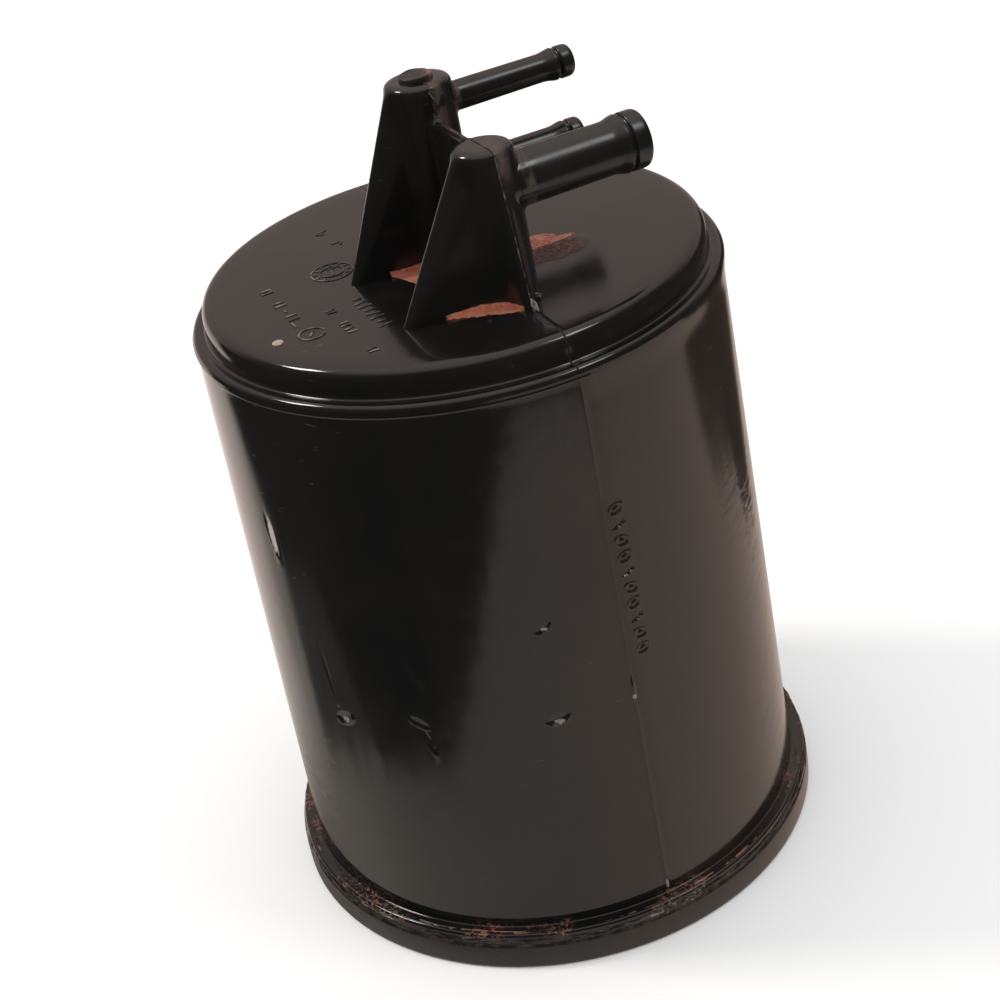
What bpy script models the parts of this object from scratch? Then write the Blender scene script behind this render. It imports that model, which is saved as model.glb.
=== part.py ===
"""Evaporative vapour canister: a charcoal filter for fuel-tank and carburettor vapour.

A black moulded housing stands on a welded base cap. Two finned towers on its top carry three hose nipples.
Inside, a column of charcoal between two foam pads is pressed up by four springs, and outside air comes in
through a fibre pad in the base. The origin is at the centre of the base, +Z runs up the can and the
nipples point along +X. Every size below is in millimetres.
"""

import math

import bmesh
import bpy
from mathutils import Matrix, Vector

MM = 0.001
GAP = 0.3  # left between pieces that touch

# Housing
TOP_Z = 184.0
WALL = 2.6
BODY_FOOT_R = 74.3
BODY_TOP_R = 71.4
DISC_R = 67.9
SHOULDER_R = 72.0
SHOULDER_Z = TOP_Z - 7.2
BODY_TOP_Z = TOP_Z - 10.2
FLANGE_R = 78.0
FLANGE_TOP_Z = 11.5
FLANGE_Z = 9.2
CEILING_Z = TOP_Z - WALL
LEDGE_Z = 20.8
LEDGE_R = 69.8
BED_FOOT_WALL_R = 71.3
BED_TOP_WALL_R = BODY_TOP_R - WALL
RIB_Z = 175.5

# Towers: the front one stands off the axis towards -Y, the rear one on it
FRONT_Y = -35.4
FRONT_R = 7.9
FRONT_TOP_Z = TOP_Z + 39.4
REAR_R = 8.9
REAR_TOP_Z = TOP_Z + 47.9
FIN_FOOT_X = -29.0
FIN_ROOT_R = 5.6
RIB_ROOT_R = 4.2
PLATE_HALF = 1.3
RIB_REACH = 15.2
WEB_TOP_Z = TOP_Z + 38.4

# Nipples
LARGE_Z = TOP_Z + 27.9
LARGE_R = 6.9
LARGE_BEAD_R = 7.6
LARGE_TIP_X = 42.8
LARGE_BORE_R = 5.0
SMALL_HIGH_Z = TOP_Z + 40.4
SMALL_LOW_Z = TOP_Z + 20.4
SMALL_R = 3.8
SMALL_BEAD_R = 4.3
SMALL_TIP_X = 43.1
SMALL_BORE_R = 2.0

# Rear tower's bore, its tube and its plug
TOWER_BORE_R = 4.7
STEP_Z = TOP_Z + 33.6
TUBE_BORE_R = 3.0
PLUG_SEAT_Z = TOP_Z + 43.0
PLUG_R = 4.7
PLUG_STEM_R = 3.9
TUBE_R = 2.55
TUBE_HOLE_R = 1.6
TUBE_FOOT_Z = 66.0
STRAINER_R = 4.6

# Base cap and what lies in it
BASE_R = 79.0
CAP_RIM_Z = 8.9
CAP_WALL = 2.4
CAP_SLEEVE_R = 68.7
CROSS_Z = 1.0
CROSS_TOP_Z = 4.2
CROSS_HALF = 5.0
AIR_FILTER_R = 68.2
AIR_FILTER_Z = 4.6
AIR_FILTER_TOP_Z = 16.6

# Spring stack, upwards from the fixed grid
FIXED_GRID_Z = 17.0
FIXED_GRID_TOP_Z = 20.5
SPRING_Z = 20.8
SPRING_TOP_Z = 45.7
SPRING_PLACE = 27.0
COIL_R = 7.2
WIRE_R = 0.8
COIL_TURNS = 4.5
PRESSURE_Z = 46.0
PRESSURE_TOP_Z = 50.0
PRESSURE_R = 69.4
SPRING_POST_R = 5.0
SPRING_POST_H = 4.0

# Charcoal column and the plate above it
LOWER_PAD_Z = 50.3
LOWER_PAD_TOP_Z = 56.0
BED_Z = 56.3
BED_TOP_Z = 165.7
BED_FOOT_R = 70.3
BED_TOP_R = 68.4
UPPER_PAD_Z = 166.0
UPPER_PAD_TOP_Z = 172.3
SPREADER_Z = 172.6
SPREADER_TOP_Z = 175.2
SPREADER_R = 68.3
TUBE_CLEAR_R = 3.2
STRAINER_CLEAR_R = 5.1
BED_HOLE_Z = 61.0
SCREEN_Z = 180.2
SCREEN_TOP_Z = 181.1
SCREEN_R = 7.4

BIG_ROUND = 64
INNER_ROUND = 48
MID_ROUND = 24
SMALL_ROUND = 16
BORE_TWIST = 4.0  # degrees
POST_ROUND = 10

for old in list(bpy.data.objects):
    bpy.data.objects.remove(old, do_unlink=True)


def finish(name, colour, roughness, metallic=0.0):
    """A Principled material of one colour."""
    made = bpy.data.materials.new(name)
    made.use_nodes = True
    shader = made.node_tree.nodes["Principled BSDF"]
    shader.inputs["Base Color"].default_value = (*colour, 1.0)
    shader.inputs["Roughness"].default_value = roughness
    shader.inputs["Metallic"].default_value = metallic
    return made


BLACK_NYLON = finish("black_nylon", (0.028, 0.025, 0.023), 0.32)
BASE_NYLON = finish("base_nylon", (0.032, 0.028, 0.026), 0.42)
GRID_NYLON = finish("grid_nylon", (0.055, 0.055, 0.058), 0.5)
NATURAL_NYLON = finish("natural_nylon", (0.62, 0.58, 0.47), 0.45)
FIBRE = finish("fibre", (0.74, 0.69, 0.56), 0.95)
FOAM = finish("foam", (0.16, 0.16, 0.17), 0.95)
CHARCOAL = finish("charcoal", (0.02, 0.02, 0.021), 0.85)
SPRING_STEEL = finish("spring_steel", (0.46, 0.45, 0.43), 0.35, 1.0)
SCREEN_STEEL = finish("screen_steel", (0.58, 0.58, 0.56), 0.4, 1.0)
BRASS = finish("brass", (0.78, 0.57, 0.24), 0.3, 1.0)
RUBBER = finish("rubber", (0.03, 0.03, 0.032), 0.7)


def empty(name):
    """An empty on the can's axis, which both slides run along."""
    made = bpy.data.objects.new(name, None)
    bpy.context.scene.collection.objects.link(made)
    return made


def place(name, bm, material=None, parent=None, smooth_below=35.0):
    """Turns a bmesh into an object. One without a material is a helper that no view shows."""
    mesh = bpy.data.meshes.new(name)
    bm.to_mesh(mesh)
    bm.free()
    mesh.shade_smooth()
    mesh.set_sharp_from_angle(angle=math.radians(smooth_below))
    made = bpy.data.objects.new(name, mesh)
    bpy.context.scene.collection.objects.link(made)
    made.parent = parent
    if material:
        mesh.materials.append(material)
    else:
        made.hide_render = True
        made.display_type = "WIRE"
    return made


def turned(name, profile, segments, material=None, parent=None, at=(0.0, 0.0), along_x_at=None, twist=0.0):
    """Spins (radius, height) points about Z, or about a line along X at the (y, z) of along_x_at."""
    bm = bmesh.new()
    points = [bm.verts.new((r * MM, 0.0, z * MM)) for r, z in profile]
    edges = [bm.edges.new(pair) for pair in zip(points, points[1:])]
    if profile[0][0] > 0.0 or profile[-1][0] > 0.0:
        edges.append(bm.edges.new((points[-1], points[0])))
    bmesh.ops.spin(
        bm, geom=points + edges, axis=(0, 0, 1), cent=(0, 0, 0), angle=math.tau, steps=segments, use_merge=True
    )
    bmesh.ops.remove_doubles(bm, verts=bm.verts, dist=1e-6)
    bmesh.ops.recalc_face_normals(bm, faces=bm.faces)
    bm.transform(Matrix.Rotation(math.radians(twist), 4, "Z"))
    if along_x_at:
        move = Matrix.Translation((0.0, along_x_at[0] * MM, along_x_at[1] * MM))
        bm.transform(move @ Matrix.Rotation(math.radians(90.0), 4, "Y"))
    else:
        bm.transform(Matrix.Translation((at[0] * MM, at[1] * MM, 0.0)))
    return place(name, bm, material, parent)


def disc(radius, low, high, edge=0.0):
    """The profile of a round plate, its edges eased by the given amount."""
    if not edge:
        return [(0.0, high), (radius, high), (radius, low), (0.0, low)]
    side = [(radius - edge, high), (radius, high - edge), (radius, low + edge), (radius - edge, low)]
    return [(0.0, high), *side, (0.0, low)]


def ring(outer, inner, low, high):
    """The profile of a plain ring."""
    return [(outer, high), (outer, low), (inner, low), (inner, high)]


def boxes(name, spans, turns=(0.0,)):
    """Boxes from ((x0, x1), (y0, y1), (z0, z1)) spans, each repeated at every turn about Z."""
    bm = bmesh.new()
    for turn in turns:
        for span in spans:
            size = [(high - low) * MM for low, high in span]
            centre = Vector([(high + low) / 2 * MM for low, high in span])
            put = Matrix.Rotation(math.radians(turn), 4, "Z") @ Matrix.Translation(centre)
            bmesh.ops.create_cube(bm, size=1.0, matrix=put @ Matrix.Diagonal((*size, 1.0)))
    return place(name, bm)


def combine(target, other, operation):
    """Adds or takes away another shape with an exact Boolean."""
    step = target.modifiers.new(f"{operation.lower()}_{other.name}", "BOOLEAN")
    step.operation = operation
    step.solver = "EXACT"
    step.object = other


def wedge(name, centre_y, root_r, foot_z, top_z, foot_tip, top_tip):
    """A drafted plate from a tower's axis out to an edge that falls from top_tip to foot_tip, given as (x, y)."""
    bm = bmesh.new()
    for height in (foot_z, top_z):
        centre = Matrix.Translation((0.0, centre_y * MM, height * MM))
        bmesh.ops.create_circle(bm, segments=SMALL_ROUND, radius=root_r * MM, matrix=centre)
    for tip, height in ((foot_tip, foot_z), (top_tip, top_z)):
        side = (PLATE_HALF, 0.0) if tip[0] == 0.0 else (0.0, PLATE_HALF)
        for sign in (-1.0, 1.0):
            x = tip[0] + sign * side[0]
            y = centre_y + tip[1] + sign * side[1]
            bm.verts.new((x * MM, y * MM, height * MM))
    hull = bmesh.ops.convex_hull(bm, input=bm.verts)
    spare = {item for item in hull["geom_interior"] + hull["geom_unused"] if isinstance(item, bmesh.types.BMVert)}
    bmesh.ops.delete(bm, geom=list(spare), context="VERTS")
    return place(name, bm)


def tower(name, centre_y, radius, top_z, rib_side):
    """A drafted column with a fin falling towards -X and a rib falling along Y, as shapes to be joined."""
    column_profile = [
        (0.0, top_z),
        (radius - 1.9, top_z),
        (radius - 0.6, top_z - 0.5),
        (radius, top_z - 1.8),
        (radius + 0.3, TOP_Z - 1.0),
        (0.0, TOP_Z - 1.0),
    ]
    shapes = [turned(f"{name}_column", column_profile, MID_ROUND, at=(0.0, centre_y))]
    fin_top = (-radius - 0.9, 0.0)
    shapes.append(wedge(f"{name}_fin", centre_y, FIN_ROOT_R, TOP_Z - 1.4, top_z - 2.8, (FIN_FOOT_X, 0.0), fin_top))
    foot = (0.0, rib_side * RIB_REACH)
    top = (0.0, rib_side * (radius + 0.2))
    shapes.append(wedge(f"{name}_rib", centre_y, RIB_ROOT_R, TOP_Z - 1.7, top_z - 2.1, foot, top))
    return shapes


def nipple(name, root_r, bead_r, bead_x, tip_x, at):
    """A hose nipple along +X: a drafted stem, a shallow groove and a long rounded bead at the tip."""
    profile = [
        (0.0, tip_x),
        (bead_r - 1.3, tip_x),
        (bead_r - 0.5, tip_x - 0.5),
        (bead_r - 0.2, tip_x - 1.5),
        (bead_r, bead_x + 1.2),
        (bead_r - 0.2, bead_x + 0.3),
        (root_r - 0.3, bead_x - 0.3),
        (root_r - 0.1, bead_x - 1.2),
        (root_r + 0.1, 3.0),
        (0.0, 3.0),
    ]
    return turned(name, profile, MID_ROUND, along_x_at=at)


def helix(name, x, y, parent):
    """A compression spring with its end coils closed up, as a round wire along a helix."""
    curve = bpy.data.curves.new(name, "CURVE")
    curve.dimensions = "3D"
    curve.bevel_depth = WIRE_R * MM
    curve.bevel_resolution = 1
    curve.use_fill_caps = True
    steps = int(COIL_TURNS * 10)
    spline = curve.splines.new("POLY")
    spline.points.add(steps)
    low = SPRING_Z + WIRE_R
    rise = SPRING_TOP_Z - SPRING_Z - 2 * WIRE_R
    closed = 1.0 / COIL_TURNS
    for step, point in enumerate(spline.points):
        along = step / steps
        free = min(max((along - closed * 0.8) / (1.0 - 1.6 * closed), 0.0), 1.0)
        height = low + 2.1 * WIRE_R * min(along / closed, 1.0)
        height += (rise - 4.2 * WIRE_R) * free
        height += 2.1 * WIRE_R * min(max((along - 1.0 + closed) / closed, 0.0), 1.0)
        turn = math.tau * COIL_TURNS * along
        point.co = ((x + COIL_R * math.cos(turn)) * MM, (y + COIL_R * math.sin(turn)) * MM, height * MM, 1.0)
    curve.materials.append(SPRING_STEEL)
    made = bpy.data.objects.new(name, curve)
    bpy.context.scene.collection.objects.link(made)
    made.parent = parent
    return made


canister = empty("canister")
bed_slide = empty("bed_slide")
bed_slide.parent = canister
filter_slide = empty("filter_slide")
filter_slide.parent = canister

# Housing: one moulding with its towers, nipples and the ribs under its top
shell = [
    (0.0, TOP_Z),
    (DISC_R - 2.2, TOP_Z),
    (DISC_R - 0.7, TOP_Z - 0.6),
    (DISC_R, TOP_Z - 2.2),
    (DISC_R, SHOULDER_Z + 0.7),
    (DISC_R + 0.7, SHOULDER_Z),
    (SHOULDER_R - 1.6, SHOULDER_Z - 0.1),
    (SHOULDER_R - 0.4, SHOULDER_Z - 0.8),
    (SHOULDER_R, SHOULDER_Z - 1.9),
    (SHOULDER_R - 0.1, BODY_TOP_Z + 0.4),
    (BODY_TOP_R, BODY_TOP_Z),
    (BODY_FOOT_R, FLANGE_TOP_Z),
    (FLANGE_R - 0.5, FLANGE_TOP_Z),
    (FLANGE_R, FLANGE_TOP_Z - 0.5),
    (FLANGE_R, FLANGE_Z),
    (BODY_FOOT_R - WALL, FLANGE_Z),
    (BODY_FOOT_R - WALL, LEDGE_Z),
    (LEDGE_R, LEDGE_Z),
    (LEDGE_R, LEDGE_Z + 1.7),
    (BED_FOOT_WALL_R, LEDGE_Z + 3.2),
    (BED_TOP_WALL_R, SPREADER_Z - 0.6),
    (BED_TOP_WALL_R, RIB_Z),
    (DISC_R - WALL, RIB_Z + 0.5),
    (DISC_R - WALL, CEILING_Z),
    (0.0, CEILING_Z),
]
housing = turned("housing", shell, BIG_ROUND, BLACK_NYLON, canister)
ceiling_ribs = boxes(
    "ceiling_ribs", [((14.0, DISC_R - WALL + 0.5), (-1.0, 1.0), (RIB_Z, CEILING_Z + 0.5))], range(0, 360, 60)
)
web = boxes("web", [((-PLATE_HALF, PLATE_HALF), (FRONT_Y + 1.0, -1.0), (TOP_Z - 2.0, WEB_TOP_Z))])
large_nipple = nipple("large_nipple", LARGE_R, LARGE_BEAD_R, 36.4, LARGE_TIP_X, (FRONT_Y, LARGE_Z))
small_high = nipple("small_high", SMALL_R, SMALL_BEAD_R, 37.6, SMALL_TIP_X, (0.0, SMALL_HIGH_Z))
small_low = nipple("small_low", SMALL_R, SMALL_BEAD_R, 37.6, SMALL_TIP_X, (0.0, SMALL_LOW_Z))
front_tower = tower("front_tower", FRONT_Y, FRONT_R, FRONT_TOP_Z, -1)
rear_tower = tower("rear_tower", 0.0, REAR_R, REAR_TOP_Z, 1)
for shape in (*front_tower, *rear_tower, web, large_nipple, small_high, small_low, ceiling_ribs):
    combine(housing, shape, "UNION")

below = CEILING_Z - 1.0
front_bore = turned(
    "front_bore", disc(TOWER_BORE_R, below, LARGE_Z + 3.0), SMALL_ROUND, at=(0.0, FRONT_Y), twist=BORE_TWIST
)
rear_bore_profile = [
    (0.0, REAR_TOP_Z + 1.0),
    (PLUG_STEM_R + GAP, REAR_TOP_Z + 1.0),
    (PLUG_STEM_R + GAP, PLUG_SEAT_Z),
    (TUBE_BORE_R, PLUG_SEAT_Z),
    (TUBE_BORE_R, STEP_Z),
    (TOWER_BORE_R, STEP_Z),
    (TOWER_BORE_R, below),
    (0.0, below),
]
rear_bore = turned("rear_bore", rear_bore_profile, SMALL_ROUND, twist=BORE_TWIST)


def nipple_bore(name, radius, tip_x, at):
    """A hole along +X from a tower's axis out through its nipple's tip."""
    return turned(name, disc(radius, 0.2, tip_x + 1.0), SMALL_ROUND, along_x_at=at, twist=BORE_TWIST)


large_bore = nipple_bore("large_bore", LARGE_BORE_R, LARGE_TIP_X, (FRONT_Y, LARGE_Z))
high_bore = nipple_bore("high_bore", SMALL_BORE_R, SMALL_TIP_X, (0.0, SMALL_HIGH_Z))
low_bore = nipple_bore("low_bore", SMALL_BORE_R, SMALL_TIP_X, (0.0, SMALL_LOW_Z))
for shape in (front_bore, rear_bore, large_bore, high_bore, low_bore):
    combine(housing, shape, "DIFFERENCE")

# Plug pressed into the rear tower's top, where the mould's core came out
plug_profile = [
    (0.0, REAR_TOP_Z + 1.6),
    (PLUG_R - 0.5, REAR_TOP_Z + 1.6),
    (PLUG_R, REAR_TOP_Z + 1.1),
    (PLUG_R, REAR_TOP_Z + GAP),
    (PLUG_STEM_R, REAR_TOP_Z + GAP),
    (PLUG_STEM_R, PLUG_SEAT_Z + GAP),
    (0.0, PLUG_SEAT_Z + GAP),
]
turned("tower_plug", plug_profile, MID_ROUND, BLACK_NYLON, canister)

# Base cap: outer band, floor and the sleeve that holds the fixed grid up
cap_profile = [
    (BASE_R - 0.4, CAP_RIM_Z),
    (BASE_R, CAP_RIM_Z - 0.4),
    (BASE_R, 0.8),
    (BASE_R - 0.8, 0.0),
    (CAP_SLEEVE_R, 0.0),
    (CAP_SLEEVE_R, FIXED_GRID_Z - GAP),
    (CAP_SLEEVE_R + CAP_WALL, FIXED_GRID_Z - GAP),
    (CAP_SLEEVE_R + CAP_WALL, CAP_WALL),
    (BASE_R - CAP_WALL, CAP_WALL),
    (BASE_R - CAP_WALL, CAP_RIM_Z),
]
turned("base_cap", cap_profile, BIG_ROUND, BASE_NYLON, canister)

# Air filter pad and the cross that snaps in under it: they come out of the base together
turned("air_filter", disc(AIR_FILTER_R, AIR_FILTER_Z, AIR_FILTER_TOP_Z, 1.2), INNER_ROUND, FIBRE, filter_slide)
arm_end = math.sqrt((AIR_FILTER_R - 0.2) ** 2 - CROSS_HALF**2)
cross = boxes("retainer_cross", [((-arm_end, arm_end), (-CROSS_HALF, CROSS_HALF), (CROSS_Z, CROSS_TOP_Z))])
cross.hide_render = False
cross.display_type = "TEXTURED"
cross.data.materials.append(GRID_NYLON)
cross.parent = filter_slide
cross_bar = boxes("cross_bar", [((-CROSS_HALF, CROSS_HALF), (-arm_end, arm_end), (CROSS_Z, CROSS_TOP_Z))])
combine(cross, cross_bar, "UNION")
cross_hub = turned("cross_hub", disc(14.0, CROSS_Z, CROSS_TOP_Z), MID_ROUND)
combine(cross, cross_hub, "UNION")
cross_eye = turned("cross_eye", disc(9.0, CROSS_Z - 1.0, CROSS_TOP_Z + 1.0), MID_ROUND)
combine(cross, cross_eye, "DIFFERENCE")


def slotted(name, radius, low, high, rows, parent, material):
    """A round plate with rows of radial slots, each row given as inner radius, outer radius, count and half width."""
    plate = turned(name, disc(radius, low, high), INNER_ROUND, material, parent)
    for number, (inner, outer, count, half) in enumerate(rows):
        turns = [360.0 * (step + 0.5) / count for step in range(count)]
        slots = boxes(f"{name}_slots_{number}", [((inner, outer), (-half, half), (low - 1.0, high + 1.0))], turns)
        combine(plate, slots, "DIFFERENCE")
    return plate


SPRING_CORNERS = [(x, y) for x in (-SPRING_PLACE, SPRING_PLACE) for y in (-SPRING_PLACE, SPRING_PLACE)]
SLOT_ROWS = ((8.0, 24.0, 12, 1.5), (50.0, 64.0, 16, 2.6))


def spring_posts(plate, low, high):
    """Four short posts that keep the springs in place."""
    for number, spot in enumerate(SPRING_CORNERS):
        post = turned(f"{plate.name}_post_{number}", disc(SPRING_POST_R, low, high, 0.8), POST_ROUND, at=spot)
        combine(plate, post, "UNION")


# Fixed grid, springs and the pressure grid that floats on them
fixed_grid = slotted(
    "fixed_grid", CAP_SLEEVE_R + CAP_WALL, FIXED_GRID_Z, FIXED_GRID_TOP_Z, SLOT_ROWS, canister, GRID_NYLON
)
spring_posts(fixed_grid, FIXED_GRID_TOP_Z - 1.0, FIXED_GRID_TOP_Z + SPRING_POST_H)
for number, (x, y) in enumerate(SPRING_CORNERS, start=1):
    helix(f"spring_{number}", x, y, canister)
pressure_grid = slotted(
    "pressure_grid", PRESSURE_R, PRESSURE_Z, PRESSURE_TOP_Z, SLOT_ROWS, bed_slide, GRID_NYLON
)
spring_posts(pressure_grid, PRESSURE_Z - SPRING_POST_H, PRESSURE_Z + 1.0)

# Charcoal column: lower pad, bed and upper pad
turned("lower_pad", disc(BED_FOOT_R, LOWER_PAD_Z, LOWER_PAD_TOP_Z, 0.6), INNER_ROUND, FOAM, bed_slide)
bed_profile = [(0.0, BED_TOP_Z), (BED_TOP_R, BED_TOP_Z), (BED_FOOT_R, BED_Z), (0.0, BED_Z)]
bed = turned("carbon_bed", bed_profile, INNER_ROUND, CHARCOAL, bed_slide)
bed_hole = turned("bed_hole", disc(STRAINER_CLEAR_R, BED_HOLE_Z, BED_TOP_Z + 1.0), SMALL_ROUND)
combine(bed, bed_hole, "DIFFERENCE")
turned("upper_pad", ring(BED_TOP_R - 0.1, TUBE_CLEAR_R, UPPER_PAD_Z, UPPER_PAD_TOP_Z), INNER_ROUND, FOAM, bed_slide)

# Spreader plate held under the housing's ribs, with a hole for the tube
spreader = slotted(
    "spreader_plate",
    SPREADER_R,
    SPREADER_Z,
    SPREADER_TOP_Z,
    ((9.0, 30.0, 12, 1.4), (36.0, 62.0, 20, 2.0)),
    canister,
    GRID_NYLON,
)
spreader_eye = turned("spreader_eye", disc(TUBE_CLEAR_R, SPREADER_Z - 1.0, SPREADER_TOP_Z + 1.0), SMALL_ROUND)
combine(spreader, spreader_eye, "DIFFERENCE")


def port_screen(name, at, eye_r):
    """A wire screen across a tower's foot, drawn as a plate with rows of square holes."""
    screen = turned(name, disc(SCREEN_R, SCREEN_Z, SCREEN_TOP_Z), MID_ROUND, SCREEN_STEEL, canister, at)
    pitch = 2.4
    first = eye_r + 1.2 if eye_r else -1.0
    spans = []
    for column in range(-2, 3):
        for row in range(-2, 3):
            x = column * pitch
            y = row * pitch
            if first < math.hypot(x, y) < 5.6:
                box_x = (at[0] + x - 0.7, at[0] + x + 0.7)
                box_y = (at[1] + y - 0.7, at[1] + y + 0.7)
                spans.append((box_x, box_y, (SCREEN_Z - 1.0, SCREEN_TOP_Z + 1.0)))
    combine(screen, boxes(f"{name}_holes", spans), "DIFFERENCE")
    if eye_r > 0.0:
        eye = turned(f"{name}_eye", disc(eye_r, SCREEN_Z - 1.0, SCREEN_TOP_Z + 1.0), SMALL_ROUND, at=at)
        combine(screen, eye, "DIFFERENCE")


port_screen("front_port_screen", (0.0, FRONT_Y), 0.0)
port_screen("rear_port_screen", (0.0, 0.0), TUBE_CLEAR_R)

# Tube from the upper small nipple down into the charcoal, its grommet and its strainer
turned("drop_tube", ring(TUBE_R, TUBE_HOLE_R, TUBE_FOOT_Z, TOP_Z + 37.0), SMALL_ROUND, NATURAL_NYLON, canister)
grommet_r = TOWER_BORE_R - GAP
turned("tube_grommet", ring(grommet_r, TUBE_R + GAP, STEP_Z - 4.6, STEP_Z - GAP), SMALL_ROUND, RUBBER, canister)
strainer_cup = [
    (0.0, TUBE_FOOT_Z - 1.0),
    (TUBE_R + GAP, TUBE_FOOT_Z - 1.0),
    (TUBE_R + GAP, TUBE_FOOT_Z + 10.0),
    (STRAINER_R, TUBE_FOOT_Z + 10.0),
    (STRAINER_R, TUBE_FOOT_Z - 2.4),
    (0.0, TUBE_FOOT_Z - 2.4),
]
turned("tube_strainer", strainer_cup, SMALL_ROUND, SCREEN_STEEL, canister)

# Brass orifice that limits the purge flow, pressed into the lower small nipple
turned(
    "purge_orifice",
    ring(SMALL_BORE_R - GAP, 0.5, 12.0, 18.0),
    SMALL_ROUND,
    BRASS,
    canister,
    along_x_at=(0.0, SMALL_LOW_Z),
)
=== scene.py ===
"""Looks of an evaporative vapour canister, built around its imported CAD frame.

A black nylon can with two finned towers and three hose nipples stands on a welded base cap. Lengths are
worked out in millimetres and turned into metres when a piece is made. +Z runs up the can and the nipples
point along +X.
"""

import math

import bmesh
import bpy
from mathutils import Matrix, Vector, noise


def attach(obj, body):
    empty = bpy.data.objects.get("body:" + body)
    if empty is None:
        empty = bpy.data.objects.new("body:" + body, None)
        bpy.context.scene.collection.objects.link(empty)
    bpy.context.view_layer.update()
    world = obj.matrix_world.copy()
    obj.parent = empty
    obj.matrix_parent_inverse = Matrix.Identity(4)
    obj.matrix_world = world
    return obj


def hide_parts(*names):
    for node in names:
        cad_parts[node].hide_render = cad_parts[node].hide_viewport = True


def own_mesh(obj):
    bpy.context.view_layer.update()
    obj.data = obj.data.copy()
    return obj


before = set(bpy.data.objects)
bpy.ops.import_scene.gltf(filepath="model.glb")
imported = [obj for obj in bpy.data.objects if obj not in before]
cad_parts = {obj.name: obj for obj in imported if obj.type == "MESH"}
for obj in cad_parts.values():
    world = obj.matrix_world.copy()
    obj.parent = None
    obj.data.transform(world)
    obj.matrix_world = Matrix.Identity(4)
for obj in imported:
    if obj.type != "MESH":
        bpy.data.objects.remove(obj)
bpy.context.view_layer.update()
scene = bpy.context.scene

# ----------------------------------------------------------------------------
# Camera. It looks down on the can from the left of the nipples, and is rolled so that the can leans to the
# left.
# ----------------------------------------------------------------------------
CAMERA_AIM = Vector((0.0002255, -0.000082, 0.1057))
CAMERA_AZIMUTH = math.radians(-20.0)
CAMERA_ELEVATION = math.radians(30.3)
CAMERA_ROLL = math.radians(-11.2)
CAMERA_DISTANCE = 0.545

camera_data = bpy.data.cameras.new("camera")
camera_data.lens = 68.4
camera_data.sensor_width = 36.0
camera_data.clip_start = 0.01
camera_data.clip_end = 20.0
camera = bpy.data.objects.new("camera", camera_data)
scene.collection.objects.link(camera)
level = math.cos(CAMERA_ELEVATION)
backwards = Vector(
    (math.sin(CAMERA_AZIMUTH) * level, -math.cos(CAMERA_AZIMUTH) * level, math.sin(CAMERA_ELEVATION))
)
facing = (-backwards).to_track_quat("-Z", "Y").to_matrix().to_4x4()
stand = Matrix.Translation(CAMERA_AIM + backwards * CAMERA_DISTANCE)
camera.matrix_world = stand @ facing @ Matrix.Rotation(CAMERA_ROLL, 4, "Z")
scene.camera = camera
scene.view_settings.view_transform = "Standard"


# ----------------------------------------------------------------------------
# Studio. A plain pale floor under soft white light, with darker room and warm bench tones where the glossy
# walls of the can mirror them. Two soft boxes draw the highlights along the rounded edges.
# ----------------------------------------------------------------------------
class Signal:
    """One shader socket. Arithmetic on it adds Math nodes, and node() adds any other kind of node."""

    def __init__(self, tree, output):
        self.tree = tree
        self.output = output

    def node(self, kind, settings=None, inputs=None, out=0):
        made = self.tree.nodes.new(f"ShaderNode{kind}")
        for key, value in (settings or {}).items():
            setattr(made, key, value)
        for key, value in (inputs or {}).items():
            if isinstance(value, Signal):
                self.tree.links.new(value.output, made.inputs[key])
            else:
                made.inputs[key].default_value = value
        return Signal(self.tree, made.outputs[out])

    def math(self, operation, first, second=0.0):
        return self.node("Math", {"operation": operation}, {0: first, 1: second})

    def __add__(self, other):
        return self.math("ADD", self, other)

    def __radd__(self, other):
        return self.math("ADD", other, self)

    def __sub__(self, other):
        return self.math("SUBTRACT", self, other)

    def __rsub__(self, other):
        return self.math("SUBTRACT", other, self)

    def __mul__(self, other):
        return self.math("MULTIPLY", self, other)

    def __rmul__(self, other):
        return self.math("MULTIPLY", other, self)

    def __truediv__(self, other):
        return self.math("DIVIDE", self, other)

    def __pow__(self, other):
        return self.math("POWER", self, other)

    def __abs__(self):
        return self.math("ABSOLUTE", self)

    def most(self, other):
        return self.math("MAXIMUM", self, other)

    def least(self, other):
        return self.math("MINIMUM", self, other)

    def rise(self, low, high, bottom=0.0, top=1.0):
        """A smooth step from bottom to top as the value goes from low to high, whichever is larger."""
        if low > high:
            low, high, bottom, top = high, low, top, bottom
        ends = {"Value": self, "From Min": low, "From Max": high, "To Min": bottom, "To Max": top}
        return self.node("MapRange", {"interpolation_type": "SMOOTHSTEP"}, ends)

    def blend(self, below, above):
        """A colour between two, with this value as the share of the second."""
        ends = {0: self}
        for key, colour in ((6, below), (7, above)):
            ends[key] = colour if isinstance(colour, Signal) else (*colour, 1.0)
        return self.node("Mix", {"data_type": "RGBA"}, ends, out=2)

    def parts(self):
        """The X, Y and Z of a vector."""
        return [self.node("SeparateXYZ", None, {0: self}, out=axis) for axis in range(3)]

    def noise(self, size, detail=2.0, roughness=0.5, distortion=0.0):
        """Cloudy noise whose blotches are about the given number of millimetres across."""
        ends = {"Vector": self, "Scale": 1000.0 / size, "Detail": detail, "Roughness": roughness}
        return self.node("TexNoise", None, {**ends, "Distortion": distortion})

    def stretch(self, x, y, z):
        """The same pattern drawn out along each axis by the given factors."""
        return self.node("VectorMath", {"operation": "DIVIDE"}, {0: self, 1: (x, y, z)})


world = bpy.data.worlds.new("studio")
scene.world = world
world.use_nodes = True
air = world.node_tree
way = Signal(air, air.nodes.new("ShaderNodeTexCoord").outputs["Generated"])


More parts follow.
